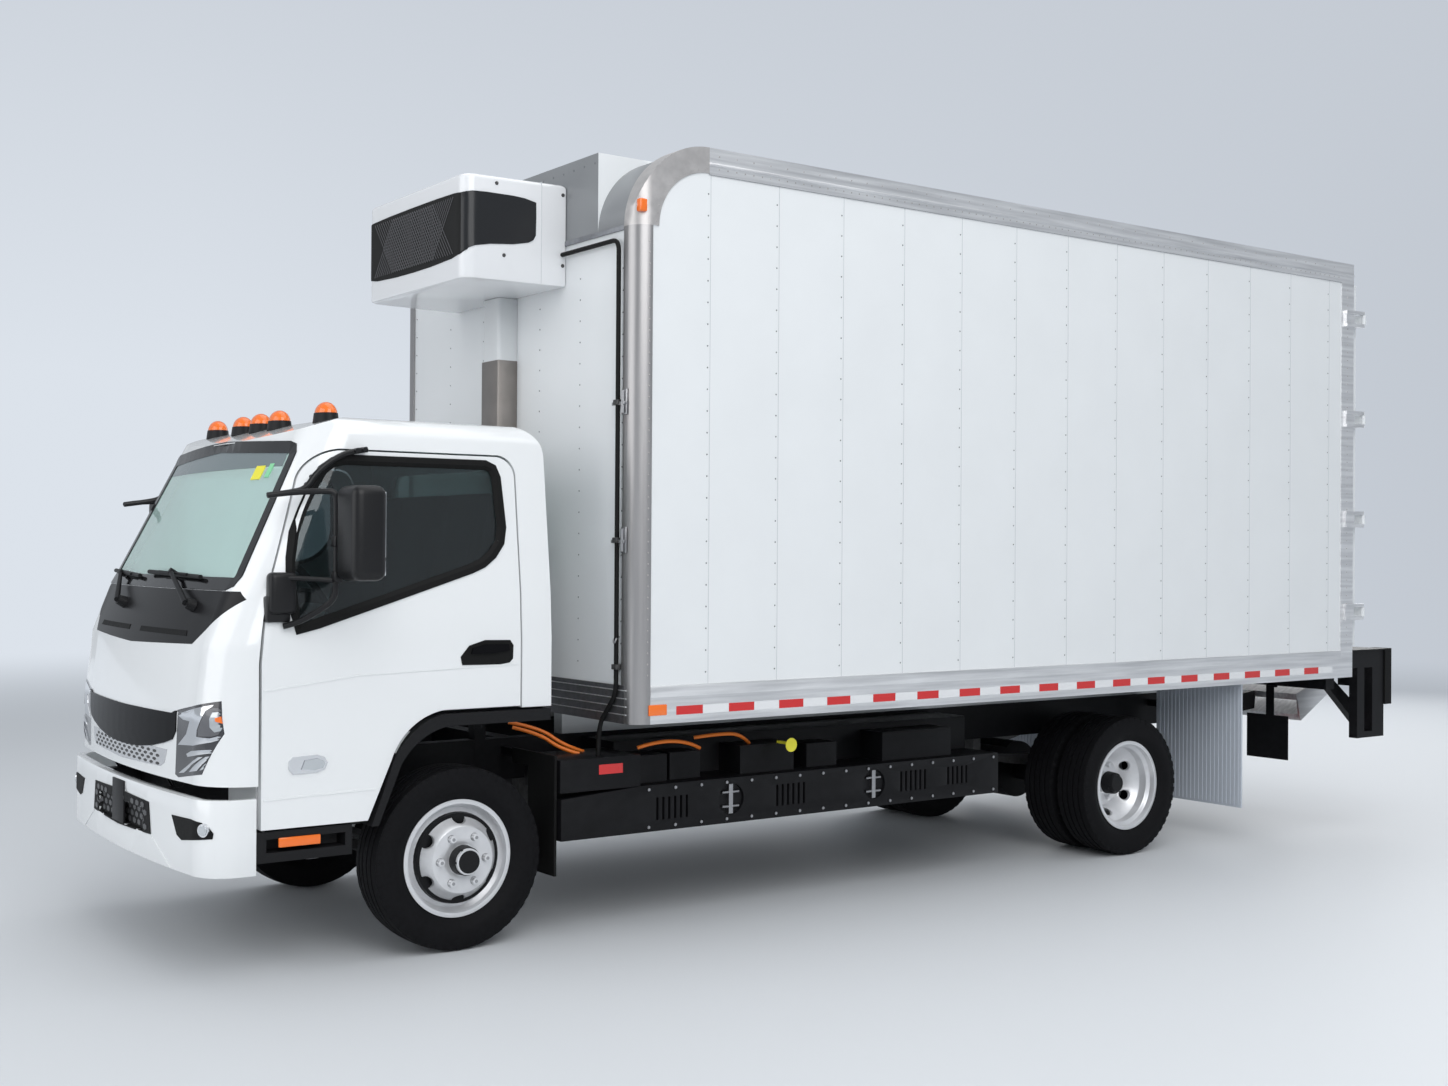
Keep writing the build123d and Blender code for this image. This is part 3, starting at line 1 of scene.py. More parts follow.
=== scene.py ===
"""Finishes, fittings and studio for a refrigerated box truck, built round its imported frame."""
import json
import logging
import math
from collections.abc import Callable
from dataclasses import dataclass
from enum import Enum

import bpy
from mathutils import Matrix, Vector

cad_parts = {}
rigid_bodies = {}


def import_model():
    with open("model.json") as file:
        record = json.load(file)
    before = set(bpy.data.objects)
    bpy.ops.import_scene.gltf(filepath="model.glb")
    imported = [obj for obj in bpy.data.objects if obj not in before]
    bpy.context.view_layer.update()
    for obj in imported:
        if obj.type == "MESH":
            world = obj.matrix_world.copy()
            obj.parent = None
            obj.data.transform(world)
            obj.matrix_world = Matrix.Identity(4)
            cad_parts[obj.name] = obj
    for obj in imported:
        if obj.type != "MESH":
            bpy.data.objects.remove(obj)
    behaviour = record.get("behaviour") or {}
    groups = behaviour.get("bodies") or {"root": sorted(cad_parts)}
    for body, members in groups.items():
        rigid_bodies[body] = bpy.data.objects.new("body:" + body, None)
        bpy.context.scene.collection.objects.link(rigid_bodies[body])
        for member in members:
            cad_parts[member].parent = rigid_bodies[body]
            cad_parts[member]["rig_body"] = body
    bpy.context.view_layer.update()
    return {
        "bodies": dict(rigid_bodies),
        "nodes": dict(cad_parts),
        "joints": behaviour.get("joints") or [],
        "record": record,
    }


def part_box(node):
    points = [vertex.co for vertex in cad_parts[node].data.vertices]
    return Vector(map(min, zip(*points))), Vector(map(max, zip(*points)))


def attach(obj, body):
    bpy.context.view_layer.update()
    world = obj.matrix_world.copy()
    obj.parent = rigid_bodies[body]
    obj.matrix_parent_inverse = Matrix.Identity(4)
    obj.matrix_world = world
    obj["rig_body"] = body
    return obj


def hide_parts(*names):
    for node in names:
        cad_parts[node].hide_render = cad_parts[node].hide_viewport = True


LOG = logging.getLogger("truck")
Point = tuple[float, float, float]
Flat = tuple[float, float]

WHEELBASE = 4.3
TYRE_RADIUS = 0.4055     # also the height of the axles
RAIL_TOP = 1.151         # top of the box's base rail
PROJECT_FROM_AHEAD = -1.6
PROJECT_FROM_SIDE = 1.4


# ---------------------------------------------------------------------------------------------------
# Finishes
# ---------------------------------------------------------------------------------------------------
class Grain(Enum):
    """How a finish's fine noise runs."""

    EVEN = (1.0, 1.0, 1.0)
    ALONG = (0.04, 1.0, 1.0)
    UPRIGHT = (1.0, 1.0, 0.04)


@dataclass(frozen=True)
class Finish:
    """One surface finish: its shader values and the noise that keeps it from looking plain."""

    name: str
    colour: tuple[float, float, float]
    roughness: float
    metallic: float = 0.0
    coat: float = 0.0
    transmission: float = 0.0
    mottle: float = 0.0
    scale: float = 40.0
    bump: float = 0.0
    grain: Grain = Grain.EVEN
    glow: float = 0.0
    shine: float = 0.5

    def material(self) -> bpy.types.Material:
        """Build the finish once and return it."""
        title = "finish_" + self.name
        if title in bpy.data.materials:
            return bpy.data.materials[title]
        made = bpy.data.materials.new(title)
        made.use_nodes = True
        tree = made.node_tree
        shader = tree.nodes["Principled BSDF"]
        shader.inputs["Base Color"].default_value = (*self.colour, 1.0)
        shader.inputs["Roughness"].default_value = self.roughness
        shader.inputs["Metallic"].default_value = self.metallic
        shader.inputs["Specular IOR Level"].default_value = self.shine
        shader.inputs["Coat Weight"].default_value = self.coat
        shader.inputs["Coat Roughness"].default_value = 0.05
        shader.inputs["Transmission Weight"].default_value = self.transmission
        if self.glow:
            shader.inputs["Emission Color"].default_value = (*self.colour, 1.0)
            shader.inputs["Emission Strength"].default_value = self.glow
        if self.mottle or self.bump:
            self._add_noise(tree, shader)
        return made

    def _add_noise(self, tree: bpy.types.NodeTree, shader: bpy.types.Node) -> None:
        """Vary colour, roughness and height with one noise on object coordinates.

        Args:
            tree: the material's node tree.
            shader: its principled shader.
        """
        place = tree.nodes.new("ShaderNodeTexCoord")
        stretch = tree.nodes.new("ShaderNodeMapping")
        stretch.inputs["Scale"].default_value = self.grain.value
        noise = tree.nodes.new("ShaderNodeTexNoise")
        noise.inputs["Scale"].default_value = self.scale
        noise.inputs["Detail"].default_value = 5.0
        tree.links.new(place.outputs["Object"], stretch.inputs["Vector"])
        tree.links.new(stretch.outputs["Vector"], noise.inputs["Vector"])
        if self.mottle:
            ramp = tree.nodes.new("ShaderNodeValToRGB")
            low = [c * (1 - self.mottle) for c in self.colour]
            high = [min(1.0, c * (1 + self.mottle)) for c in self.colour]
            ramp.color_ramp.elements[0].position = 0.3
            ramp.color_ramp.elements[1].position = 0.7
            ramp.color_ramp.elements[0].color = (*low, 1.0)
            ramp.color_ramp.elements[1].color = (*high, 1.0)
            tree.links.new(noise.outputs["Fac"], ramp.inputs["Fac"])
            tree.links.new(ramp.outputs["Color"], shader.inputs["Base Color"])
            spread = tree.nodes.new("ShaderNodeMapRange")
            spread.inputs["To Min"].default_value = max(0.02, self.roughness * 0.8)
            spread.inputs["To Max"].default_value = min(1.0, self.roughness * 1.2)
            tree.links.new(noise.outputs["Fac"], spread.inputs["Value"])
            tree.links.new(spread.outputs["Result"], shader.inputs["Roughness"])
        if self.bump:
            height = tree.nodes.new("ShaderNodeBump")
            height.inputs["Strength"].default_value = self.bump
            height.inputs["Distance"].default_value = 0.001
            tree.links.new(noise.outputs["Fac"], height.inputs["Height"])
            tree.links.new(height.outputs["Normal"], shader.inputs["Normal"])


CAB_WHITE = Finish("cab_white", (0.83, 0.845, 0.85), 0.20, coat=0.8)
PANEL_WHITE = Finish("box_white", (0.79, 0.81, 0.82), 0.36, mottle=0.015, scale=2.5)
NOSE_WHITE = Finish("nose_white", (0.68, 0.70, 0.71), 0.42, mottle=0.03, scale=3.0)
ALLOY = Finish("box_aluminium", (0.86, 0.86, 0.87), 0.38, metallic=1.0, mottle=0.16, scale=45,
               grain=Grain.ALONG)
POST_ALLOY = Finish("post_aluminium", (0.40, 0.39, 0.39), 0.36, metallic=1.0, mottle=0.07, scale=30,
                    grain=Grain.UPRIGHT)
TOP_ALLOY = Finish("rail_aluminium", (0.29, 0.30, 0.32), 0.42, metallic=0.9, mottle=0.12, scale=40,
                   grain=Grain.ALONG)
FOOT_ALLOY = Finish("foot_aluminium", (0.20, 0.20, 0.21), 0.40, metallic=0.9, mottle=0.15, scale=40)
CAST_ALLOY = Finish("cast_aluminium", (0.55, 0.53, 0.52), 0.42, metallic=0.75, mottle=0.08, scale=25,
                    bump=0.12)
# Dark grey for the box nose's forward faces above the turn: a grey panel, darkened further as painted shade
# behind the cooler.
NOSE_GREY_AND_SHADE = Finish("bonnet_grey", (0.27, 0.28, 0.29), 0.42, metallic=0.3, mottle=0.04, scale=4)
LAP_GREY = Finish("lap_grey", (0.55, 0.57, 0.59), 0.45)
# Seam and nose rivets: grey metal, darkened as painted shade round their heads.
RIVET_GREY_AND_SHADE = Finish("rivet_grey", (0.20, 0.21, 0.22), 0.45, metallic=0.4)
FRAME_BLACK = Finish("frame_black", (0.007, 0.007, 0.008), 0.45, mottle=0.25, scale=30, bump=0.1, shine=0.18)
PACK_BLACK = Finish("pack_black", (0.006, 0.006, 0.007), 0.38, mottle=0.2, scale=20, bump=0.05, shine=0.2)
STEEL = Finish("steel_dark", (0.09, 0.09, 0.09), 0.5, metallic=0.8, mottle=0.2, scale=40, bump=0.2)
PLASTIC = Finish("trim_black", (0.010, 0.010, 0.011), 0.45, mottle=0.15, scale=200, bump=0.12, shine=0.2)
MIRROR_BLACK = Finish("mirror_black", (0.006, 0.006, 0.007), 0.36, mottle=0.1, scale=150, bump=0.08,
                      shine=0.35)
GLOSS_BLACK = Finish("gloss_black", (0.006, 0.006, 0.007), 0.18, shine=0.05)
COWL_BLACK = Finish("cowl_black", (0.011, 0.011, 0.012), 0.28, shine=0.18)
RUBBER = Finish("rubber_black", (0.007, 0.007, 0.007), 0.6, mottle=0.2, scale=80, bump=0.1, shine=0.16)
TYRE = Finish("tyre_black", (0.006, 0.006, 0.007), 0.66, mottle=0.25, scale=60, bump=0.15, shine=0.12)
WHEEL = Finish("wheel_silver", (0.74, 0.745, 0.76), 0.34, metallic=0.55, coat=0.3, mottle=0.05, scale=15)
NUT = Finish("nut_steel", (0.40, 0.40, 0.41), 0.3, metallic=1.0)
CHROME = Finish("chrome", (0.75, 0.76, 0.78), 0.08, metallic=1.0)
GLASS = Finish("glass_tint", (0.74, 0.95, 0.90), 0.02, transmission=0.55)
DARK_GLASS = Finish("dark_glass", (0.20, 0.25, 0.26), 0.02, transmission=0.97, shine=0.4)
FRIT = Finish("frit_black", (0.008, 0.008, 0.009), 0.10)
LENS = Finish("lamp_clear", (0.55, 0.58, 0.60), 0.06, metallic=0.6, coat=1.0)
INSERT_SILVER = Finish("insert_silver", (0.62, 0.63, 0.65), 0.25, metallic=0.5, coat=0.3)
LAMP_GREY = Finish("lamp_grey", (0.12, 0.12, 0.13), 0.18, metallic=0.3, coat=1.0)
LAMP_DARK = Finish("lamp_dark", (0.03, 0.03, 0.035), 0.12, coat=0.8)
AMBER = Finish("amber_lens", (0.88, 0.17, 0.012), 0.16, coat=0.6, glow=0.04)
RED = Finish("red_lens", (0.62, 0.02, 0.02), 0.22, coat=0.4)
TAPE_WHITE = Finish("tape_white", (0.78, 0.79, 0.80), 0.35)
ORANGE = Finish("orange_sheath", (0.85, 0.20, 0.02), 0.45)
SHADE = Finish("shade_band", (0.16, 0.20, 0.21), 0.05)
MESH_GREY = Finish("mesh_grey", (0.045, 0.045, 0.048), 0.35, shine=0.5)
YELLOW = Finish("yellow_tag", (0.85, 0.78, 0.05), 0.5)
# Near-black sheet behind the cooler's mesh: painted shade for the dark inside of the front opening.
PAINTED_SHADE_BLACK = Finish("void_black", (0.003, 0.003, 0.003), 0.9)
FLANK_DARK = Finish("flank_dark", (0.012, 0.013, 0.015), 0.24, shine=0.4)
WIRE_GREY = Finish("wire_grey", (0.10, 0.10, 0.105), 0.4, metallic=0.4)
GREEN = Finish("green_tag", (0.25, 0.65, 0.35), 0.5)
SEAT = Finish("seat_grey", (0.045, 0.045, 0.05), 0.85, mottle=0.2, scale=300, bump=0.3)
FLAP = Finish("flap_white", (0.55, 0.59, 0.65), 0.45)
FLOOR_ALLOY = Finish("floor_alloy", (0.50, 0.51, 0.51), 0.4, metallic=0.9, mottle=0.1, scale=30,
                     grain=Grain.ALONG)
COVER = Finish("cooler_white", (0.79, 0.80, 0.815), 0.26, coat=0.5)
DUCT_STEEL = Finish("duct_steel", (0.26, 0.24, 0.225), 0.4, metallic=0.85, mottle=0.1, scale=8)
LABEL = Finish("blank_label", (0.80, 0.82, 0.84), 0.45)
NAVY = Finish("navy_label", (0.03, 0.05, 0.16), 0.4)


# ---------------------------------------------------------------------------------------------------
# Bench: the few shaping jobs that every sub-assembly uses
# ---------------------------------------------------------------------------------------------------
class Axis(Enum):
    """A direction along the truck, across it, or up."""

    ALONG = Vector((1, 0, 0))
    ACROSS = Vector((0, 1, 0))
    UP = Vector((0, 0, 1))


@dataclass
class Bench:
    """Makes meshes with the modelling operators, in the frame's metres."""

    front_axle: float

    def at(self, x: float, y: float, z: float) -> Vector:
        """A point given by its distance behind the front axle."""
        return Vector((self.front_axle + x, y, z))

    @staticmethod
    def clear() -> None:
        """Leave edit mode and select nothing."""
        if bpy.context.object is not None and bpy.context.object.mode != "OBJECT":
            bpy.ops.object.mode_set(mode="OBJECT")
        bpy.ops.object.select_all(action="DESELECT")

    @staticmethod
    def settle(piece: bpy.types.Object) -> bpy.types.Object:
        """Put a piece's place into its mesh and its object at the origin."""
        Bench.clear()
        bpy.context.view_layer.objects.active = piece
        piece.select_set(True)
        bpy.ops.object.transform_apply(location=True, rotation=True, scale=True)
        return piece

    @staticmethod
    def apply(piece: bpy.types.Object, kind: str, **values: object) -> None:
        """Add one modifier with the given values and apply it.

        Args:
            piece: the object that is modified.
            kind: Blender's modifier type.
            values: the modifier's settings.
        """
        Bench.clear()
        bpy.context.view_layer.objects.active = piece
        piece.select_set(True)
        made = piece.modifiers.new(kind.lower(), kind)
        for key, value in values.items():
            setattr(made, key, value)
        bpy.ops.object.modifier_apply(modifier=made.name)

    @staticmethod
    def soften(piece: bpy.types.Object, width: float, segments: int = 2, angle: float = 40.0) -> None:
        """Round a piece's edges and smooth its shading."""
        if width > 0:
            Bench.apply(piece, "BEVEL", width=width, segments=segments, limit_method="ANGLE",
                        angle_limit=math.radians(angle), use_clamp_overlap=True)
        Bench.smooth(piece, angle)

    @staticmethod
    def smooth(piece: bpy.types.Object, angle: float = 40.0) -> None:
        """Smooth a piece's shading below an angle."""
        Bench.clear()
        bpy.context.view_layer.objects.active = piece
        piece.select_set(True)
        bpy.ops.object.shade_smooth_by_angle(angle=math.radians(angle))

    def block(self, name: str, low: Point, high: Point, round_edge: float = 0.0) -> bpy.types.Object:
        """A block between two corners, x measured from the front axle.

        Args:
            name: the piece's name.
            low: its lowest corner.
            high: its highest corner.
            round_edge: its edges' radius.

        Returns:
            The new object.
        """
        self.clear()
        start, end = self.at(*low), self.at(*high)
        bpy.ops.mesh.primitive_cube_add(size=1, location=(start + end) / 2, scale=end - start)
        piece = bpy.context.object
        piece.name = name
        self.settle(piece)
        if round_edge:
            self.soften(piece, round_edge)
        return piece

    def on_side(self, name: str, side: int, low: Point, high: Point,
                round_edge: float = 0.0) -> bpy.types.Object:
        """A block on one side of the truck, its second numbers measured outwards from the middle.

        Args:
            name: the piece's name.
            side: -1 for the left, 1 for the right.
            low: its corner ahead and below.
            high: its corner behind and above.
            round_edge: its edges' radius.

        Returns:
            The new object.
        """
        least, most = sorted((side * low[1], side * high[1]))
        return self.block(name, (low[0], least, low[2]), (high[0], most, high[2]), round_edge)

    def rod(self, name: str, start: Vector, end: Vector, radius: float, sides: int = 16,
            tip: float | None = None) -> bpy.types.Object:
        """A round bar or cone between two points of the frame.

        Args:
            name: the piece's name.
            start: the middle of its first end.
            end: the middle of its other end.
            radius: its radius.
            sides: how many flats make it round.
            tip: the radius at the other end, where that differs.

        Returns:
            The new object.
        """
        self.clear()
        run = end - start
        bpy.ops.mesh.primitive_cone_add(vertices=sides, radius1=radius,
                                        radius2=radius if tip is None else tip,
                                        depth=run.length, location=(start + end) / 2,
                                        rotation=run.to_track_quat("Z", "Y").to_euler())
        piece = bpy.context.object
        piece.name = name
        self.settle(piece)
        self.smooth(piece, 50)
        return piece

    def sheet(self, name: str, outline: list[Flat], facing: Axis, level: float,
              depth: float) -> bpy.types.Object:
        """A flat outline carried to a depth.

        Args:
            name: the piece's name.
            outline: corners as (x from the axle, z), (y, z) or (x from the axle, y), by facing.
            facing: the direction it is carried in.
            level: where it starts along that direction.
            depth: how far it is carried; it may be negative.

        Returns:
            The new object.
        """
        self.clear()
        bpy.ops.mesh.primitive_circle_add(vertices=len(outline), radius=1, fill_type="NGON")
        piece = bpy.context.object
        piece.name = name
        for vertex, (a, b) in zip(piece.data.vertices, outline):
            if facing is Axis.ACROSS:
                vertex.co = (self.front_axle + a, level, b)
            elif facing is Axis.ALONG:
                vertex.co = (self.front_axle + level, a, b)
            else:
                vertex.co = (self.front_axle + a, b, level)
        if depth:
            bpy.ops.object.mode_set(mode="EDIT")
            bpy.ops.mesh.select_all(action="SELECT")
            bpy.ops.mesh.extrude_region_move(TRANSFORM_OT_translate={"value": facing.value * depth})
            bpy.ops.mesh.select_all(action="SELECT")
            bpy.ops.mesh.normals_make_consistent(inside=False)
            bpy.ops.object.mode_set(mode="OBJECT")
        return piece

    @staticmethod
    def lay_on(piece: bpy.types.Object, target: bpy.types.Object, axis: str, thickness: float,
               backwards: bool = False, cuts: int = 0) -> None:
        """Lay a flat outline on a curved panel and give it a thickness.

        Args:
            piece: the flat outline, clear of the panel.
            target: the panel.
            axis: the letter of the axis it is projected along.
            thickness: how far it stands off the panel.
            backwards: whether it travels to lower values on the axis.
            cuts: how finely it is divided first.
        """
        Bench.clear()
        bpy.context.view_layer.objects.active = piece
        piece.select_set(True)
        if cuts:
            Bench.apply(piece, "TRIANGULATE")
            Bench.apply(piece, "SUBSURF", levels=cuts, render_levels=cuts, subdivision_type="SIMPLE")
        values = {"use_project_" + axis: True, "use_positive_direction": not backwards,
                  "use_negative_direction": backwards}
        before = [vertex.co.copy() for vertex in piece.data.vertices]
        Bench.apply(piece, "SHRINKWRAP", target=target, wrap_method="PROJECT", **values)
        missed = [(vertex.co - old).length < 0.001 for vertex, old in zip(piece.data.vertices, before)]
        if any(missed):
            bpy.ops.object.mode_set(mode="EDIT")
            bpy.ops.mesh.select_mode(type="VERT")
            bpy.ops.mesh.select_all(action="DESELECT")
            bpy.ops.object.mode_set(mode="OBJECT")
            for vertex, stray in zip(piece.data.vertices, missed):
                vertex.select = stray
            bpy.ops.object.mode_set(mode="EDIT")
            bpy.ops.mesh.delete(type="VERT")
            bpy.ops.object.mode_set(mode="OBJECT")
        Bench.apply(piece, "SOLIDIFY", thickness=thickness, offset=0.0)

    @staticmethod
    def strand(name: str, points: list[Point], radius: float) -> bpy.types.Object:
        """A round, smooth run along control points in the row frame.

        Args:
            name: the run's name.
            points: its control points.
            radius: its radius.

        Returns:
            The run, one open spline.
        """
        curve = bpy.data.curves.new(name, "CURVE")
        curve.dimensions = "3D"
        curve.bevel_depth = radius
        curve.bevel_resolution = 5
        curve.resolution_u = 10
        curve.use_fill_caps = True
        spline = curve.splines.new("NURBS")
        spline.points.add(len(points) - 1)
        for knot, place in zip(spline.points, points):
            knot.co = (*place, 1.0)
        spline.order_u = 3
        spline.use_endpoint_u = True
        run = bpy.data.objects.new(name, curve)
        bpy.context.scene.collection.objects.link(run)
        return run

    def pipe(self, name: str, points: list[Point], radius: float) -> bpy.types.Object:
        """A bent metal tube through places given from the front axle."""
        tube = self.strand(name, [tuple(self.at(*place)) for place in points], radius)
        self.clear()
        tube.select_set(True)
        bpy.context.view_layer.objects.active = tube
        bpy.ops.object.convert(target="MESH")
        self.smooth(bpy.context.object, 50)
        return bpy.context.object

    @staticmethod
    def repeat(piece: bpy.types.Object, count: int, step: Vector) -> None:
        """Copy a piece in a row inside its own mesh."""
        if count > 1:
            Bench.apply(piece, "ARRAY", count=count, use_relative_offset=False, use_constant_offset=True,
                        constant_offset_displace=step)

    @staticmethod
    def join(name: str, pieces: list[bpy.types.Object]) -> bpy.types.Object:
        """Join pieces into one and name it."""
        Bench.clear()
        for piece in pieces:
            piece.select_set(True)
        bpy.context.view_layer.objects.active = pieces[0]
        if len(pieces) > 1:
            bpy.ops.object.join()
        made = bpy.context.object
        made.name = name
        return made

    @staticmethod
    def twin(piece: bpy.types.Object, name: str) -> bpy.types.Object:
        """The mirror image of a piece across the truck's middle, with its own mesh."""
        Bench.clear()
        piece.select_set(True)
        bpy.context.view_layer.objects.active = piece
        bpy.ops.object.duplicate()
        other = bpy.context.object
        other.name = name
        other.data.transform(Matrix.Scale(-1, 4, Vector((0, 1, 0))))
        bpy.ops.object.mode_set(mode="EDIT")
        bpy.ops.mesh.select_all(action="SELECT")
        bpy.ops.mesh.flip_normals()
        bpy.ops.object.mode_set(mode="OBJECT")
        return other

    @staticmethod
    def dress(piece: bpy.types.Object, finish: Finish, body: str, slot: str = "") -> bpy.types.Object:
        """Give a piece its finish and the body it moves with."""
        piece.data.materials.clear()
        piece.data.materials.append(finish.material())
        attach(piece, body)
        LOG.info("%s on %s", piece.name, body)
        return piece

    @staticmethod
    def cut(piece: bpy.types.Object, planes: list[tuple[Vector, Vector]]) -> None:
        """Divide a piece's faces along planes, each a point and a normal."""
        Bench.clear()
        bpy.context.view_layer.objects.active = piece
        piece.select_set(True)
        bpy.ops.object.mode_set(mode="EDIT")
        for point, normal in planes:
            bpy.ops.mesh.select_all(action="SELECT")
            bpy.ops.mesh.bisect(plane_co=point, plane_no=normal)
        bpy.ops.object.mode_set(mode="OBJECT")

    @staticmethod
    def tint(piece: bpy.types.Object, finish: Finish, wanted: Callable[[Vector, Vector], bool]) -> None:
        """Give some of a piece's faces another finish.

        Args:
            piece: the piece, already dressed.
            finish: the other finish.
            wanted: tells by a face's middle and normal whether it takes the finish.
        """
        piece.data.materials.append(finish.material())
        last = len(piece.data.materials) - 1
        for face in piece.data.polygons:
            if wanted(face.center, face.normal):
                face.material_index = last

    def emblem(self, name: str, outline: list[Flat], target: bpy.types.Object, axis: Axis, thickness: float,
               finish: Finish, body: str, cuts: int = 3) -> bpy.types.Object:
        """Lay a shaped patch on a panel, from ahead or from the left, and dress it.

        Args:
            name: the patch's name.
            outline: its corners in the plane that it is projected from.
            target: the panel it lies on.
            axis: ALONG to lay it from ahead, ACROSS to lay it from the left.
            thickness: how far it stands off, both ways together.
            finish: its finish.
            body: the body it moves with.
            cuts: how finely it follows the panel.

        Returns:
            The patch.
        """
        patch = self.sheet(name, outline, axis,
                           PROJECT_FROM_AHEAD if axis is Axis.ALONG else -PROJECT_FROM_SIDE, 0)
        self.lay_on(patch, target, "x" if axis is Axis.ALONG else "y", thickness, cuts=cuts)
        self.smooth(patch, 35)
        return self.dress(patch, finish, body)

    def refined(self, frame: dict, node: str, finish: Finish, edge: float,
                angle: float = 30.0) -> bpy.types.Object:
        """A frame node's own shape with merged corners, small rounded edges and smooth shading.

        Args:
            frame: the loaded frame.
            node: the node's name.
            finish: its finish.
            edge: the rounding of its edges; nought leaves them sharp.
            angle: edges sharper than this in degrees are kept and rounded.

        Returns:
            The object that stands for the node.
        """
        self.clear()
        source = frame["nodes"][node]
        piece = bpy.data.objects.new(node + "_finished", source.data.copy())
        bpy.context.scene.collection.objects.link(piece)
        bpy.context.view_layer.objects.active = piece
        piece.select_set(True)
        if piece.data.has_custom_normals:
            bpy.ops.mesh.customdata_custom_splitnormals_clear()
        bpy.ops.object.mode_set(mode="EDIT")
        bpy.ops.mesh.select_all(action="SELECT")
        bpy.ops.mesh.remove_doubles(threshold=0.00002)
        bpy.ops.mesh.dissolve_limited(angle_limit=math.radians(0.5))
        bpy.ops.object.mode_set(mode="OBJECT")
        self.soften(piece, edge, 2, angle)
        body = source["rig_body"]
        slots = {part["node"]: part["material_slot"] for part in frame["record"]["subparts"]}
        self.dress(piece, finish, body, slots[node])
        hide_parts(node)
        return piece


# ---------------------------------------------------------------------------------------------------
# Cab
# ---------------------------------------------------------------------------------------------------
@dataclass
class Cab:
    """Cab panels, glass, lamps, wipers, steps and door fittings."""

    bench: Bench
    frame: dict
    seal_width: float = 0.028
    ring_step: float = 0.09
    channel: float = 0.13
    screen_edge: tuple[Flat, ...] = ((-.810, 1.605), (-.843, 1.619), (-.856, 1.655), (-.790, 2.175),
                                     (-.770, 2.205), (-.730, 2.215), (0, 2.245), (.730, 2.215),
                                     (.770, 2.205), (.790, 2.175), (.856, 1.655), (.843, 1.619),
                                     (.810, 1.605))
    window_edge: tuple[Flat, ...] = ((-.770, 1.440), (-.795, 1.640), (-.787, 1.730), (-.766, 1.830),
                                     (-.722, 1.930), (-.675, 2.025), (-.632, 2.096), (-.590, 2.128),
                                     (-.530, 2.140), (.120, 2.140), (.150, 2.128), (.165, 2.090),
                                     (.180, 1.870), (.168, 1.805), (.128, 1.752), (.080, 1.715),
                                     (.020, 1.690))
    seat_middles: tuple[float, ...] = (-0.565, 0.275)
    roof_lamps: tuple[Flat, ...] = ((-0.536, -0.69), (-0.57, -0.235), (-0.57, 0.0), (-0.57, 0.235),
                                    (-0.536, 0.69))

    def build(self) -> None:
        """Make every piece of the cab."""
        self.panels()
        self.glass()
        self.headlamps()
        self.nose()
        self.wipers()
        self.roof()
        for side, word in ((-1, "left"), (1, "right")):
            self.door(side, word)
            self.mirror(side, word)
        self.bumper()

    def panels(self) -> None:
        """Dress the cab's own panels."""
        for node in ("cab_shell", "cab_door_left", "cab_door_right"):
            self.bench.refined(self.frame, node, CAB_WHITE, 0.0, 25)
        self.bench.refined(self.frame, "front_bumper", CAB_WHITE, 0.006, 30)
        self.bench.refined(self.frame, "nose_trim", COWL_BLACK, 0.0, 25)
        self.bench.refined(self.frame, "arch_flares", PLASTIC, 0.0, 30)
        self.bench.refined(self.frame, "cab_steps", PLASTIC, 0.003, 30)
        self.bench.refined(self.frame, "dashboard", PLASTIC, 0.0, 30)
        self.cushions()

    def cushions(self) -> None:
        """Seats as soft pads: rounded, crowned, with sewn channels."""
        source = self.frame["nodes"]["seats"]
        pads = bpy.data.objects.new("seat_pads", source.data.copy())
        bpy.context.scene.collection.objects.link(pads)
        if pads.data.has_custom_normals:
            self.bench.clear()
            bpy.context.view_layer.objects.active = pads
            pads.select_set(True)
            bpy.ops.mesh.customdata_custom_splitnormals_clear()
        self.bench.apply(pads, "REMESH", mode="VOXEL", voxel_size=0.014)
        self.bench.apply(pads, "SMOOTH", factor=0.5, iterations=16)
        outward = [vertex.normal.copy() for vertex in pads.data.vertices]
        for vertex, normal in zip(pads.data.vertices, outward):
            across = min(abs(vertex.co.y - middle) for middle in self.seat_middles)
            groove = math.exp(-((across - self.channel) / 0.012) ** 2)
            vertex.co -= normal * (0.007 * groove)
        self.bench.apply(pads, "SUBSURF", levels=1, render_levels=1)
        self.bench.smooth(pads, 80)
        self.bench.dress(pads, SEAT, source["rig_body"])
        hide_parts("seats")

    def glass(self) -> None:
        """Tint the glass and lay a black border, a shade band and plain stickers on the windshield."""
        for node, finish in (("cab_glass", GLASS), ("door_glass_left", DARK_GLASS),
                             ("door_glass_right", DARK_GLASS)):
            self.bench.refined(self.frame, node, finish, 0.0, 25)
        base = self.bench.join("screen_base", [self.copy_of(bpy.data.objects[name + "_finished"])
                                               for name in ("cab_glass", "cab_shell", "nose_trim")])
        border = self.ring("windshield_border", self.screen_edge, (-.040, .012), -1.7, base, Axis.ALONG, .010)
        self.bench.dress(border, FRIT, "cab")
        self.bench.emblem("shade_band", [(-.735, 2.120), (.735, 2.120), (.722, 2.190), (0, 2.215),
                                         (-.722, 2.190)], base, Axis.ALONG, .004, SHADE, "cab", 4)
        for name, y, z, wide, finish in (("yellow", -.545, 2.105, .040, YELLOW),
                                         ("green", -.640, 2.112, .018, GREEN)):
            self.bench.emblem(f"plain_sticker_{name}", [(y - wide, z - .040), (y + wide, z - .040),
                                                        (y + wide, z + .020), (y - wide, z + .020)], base,
                              Axis.ALONG, .007, finish, "cab", 1)
        bpy.data.objects.remove(base)

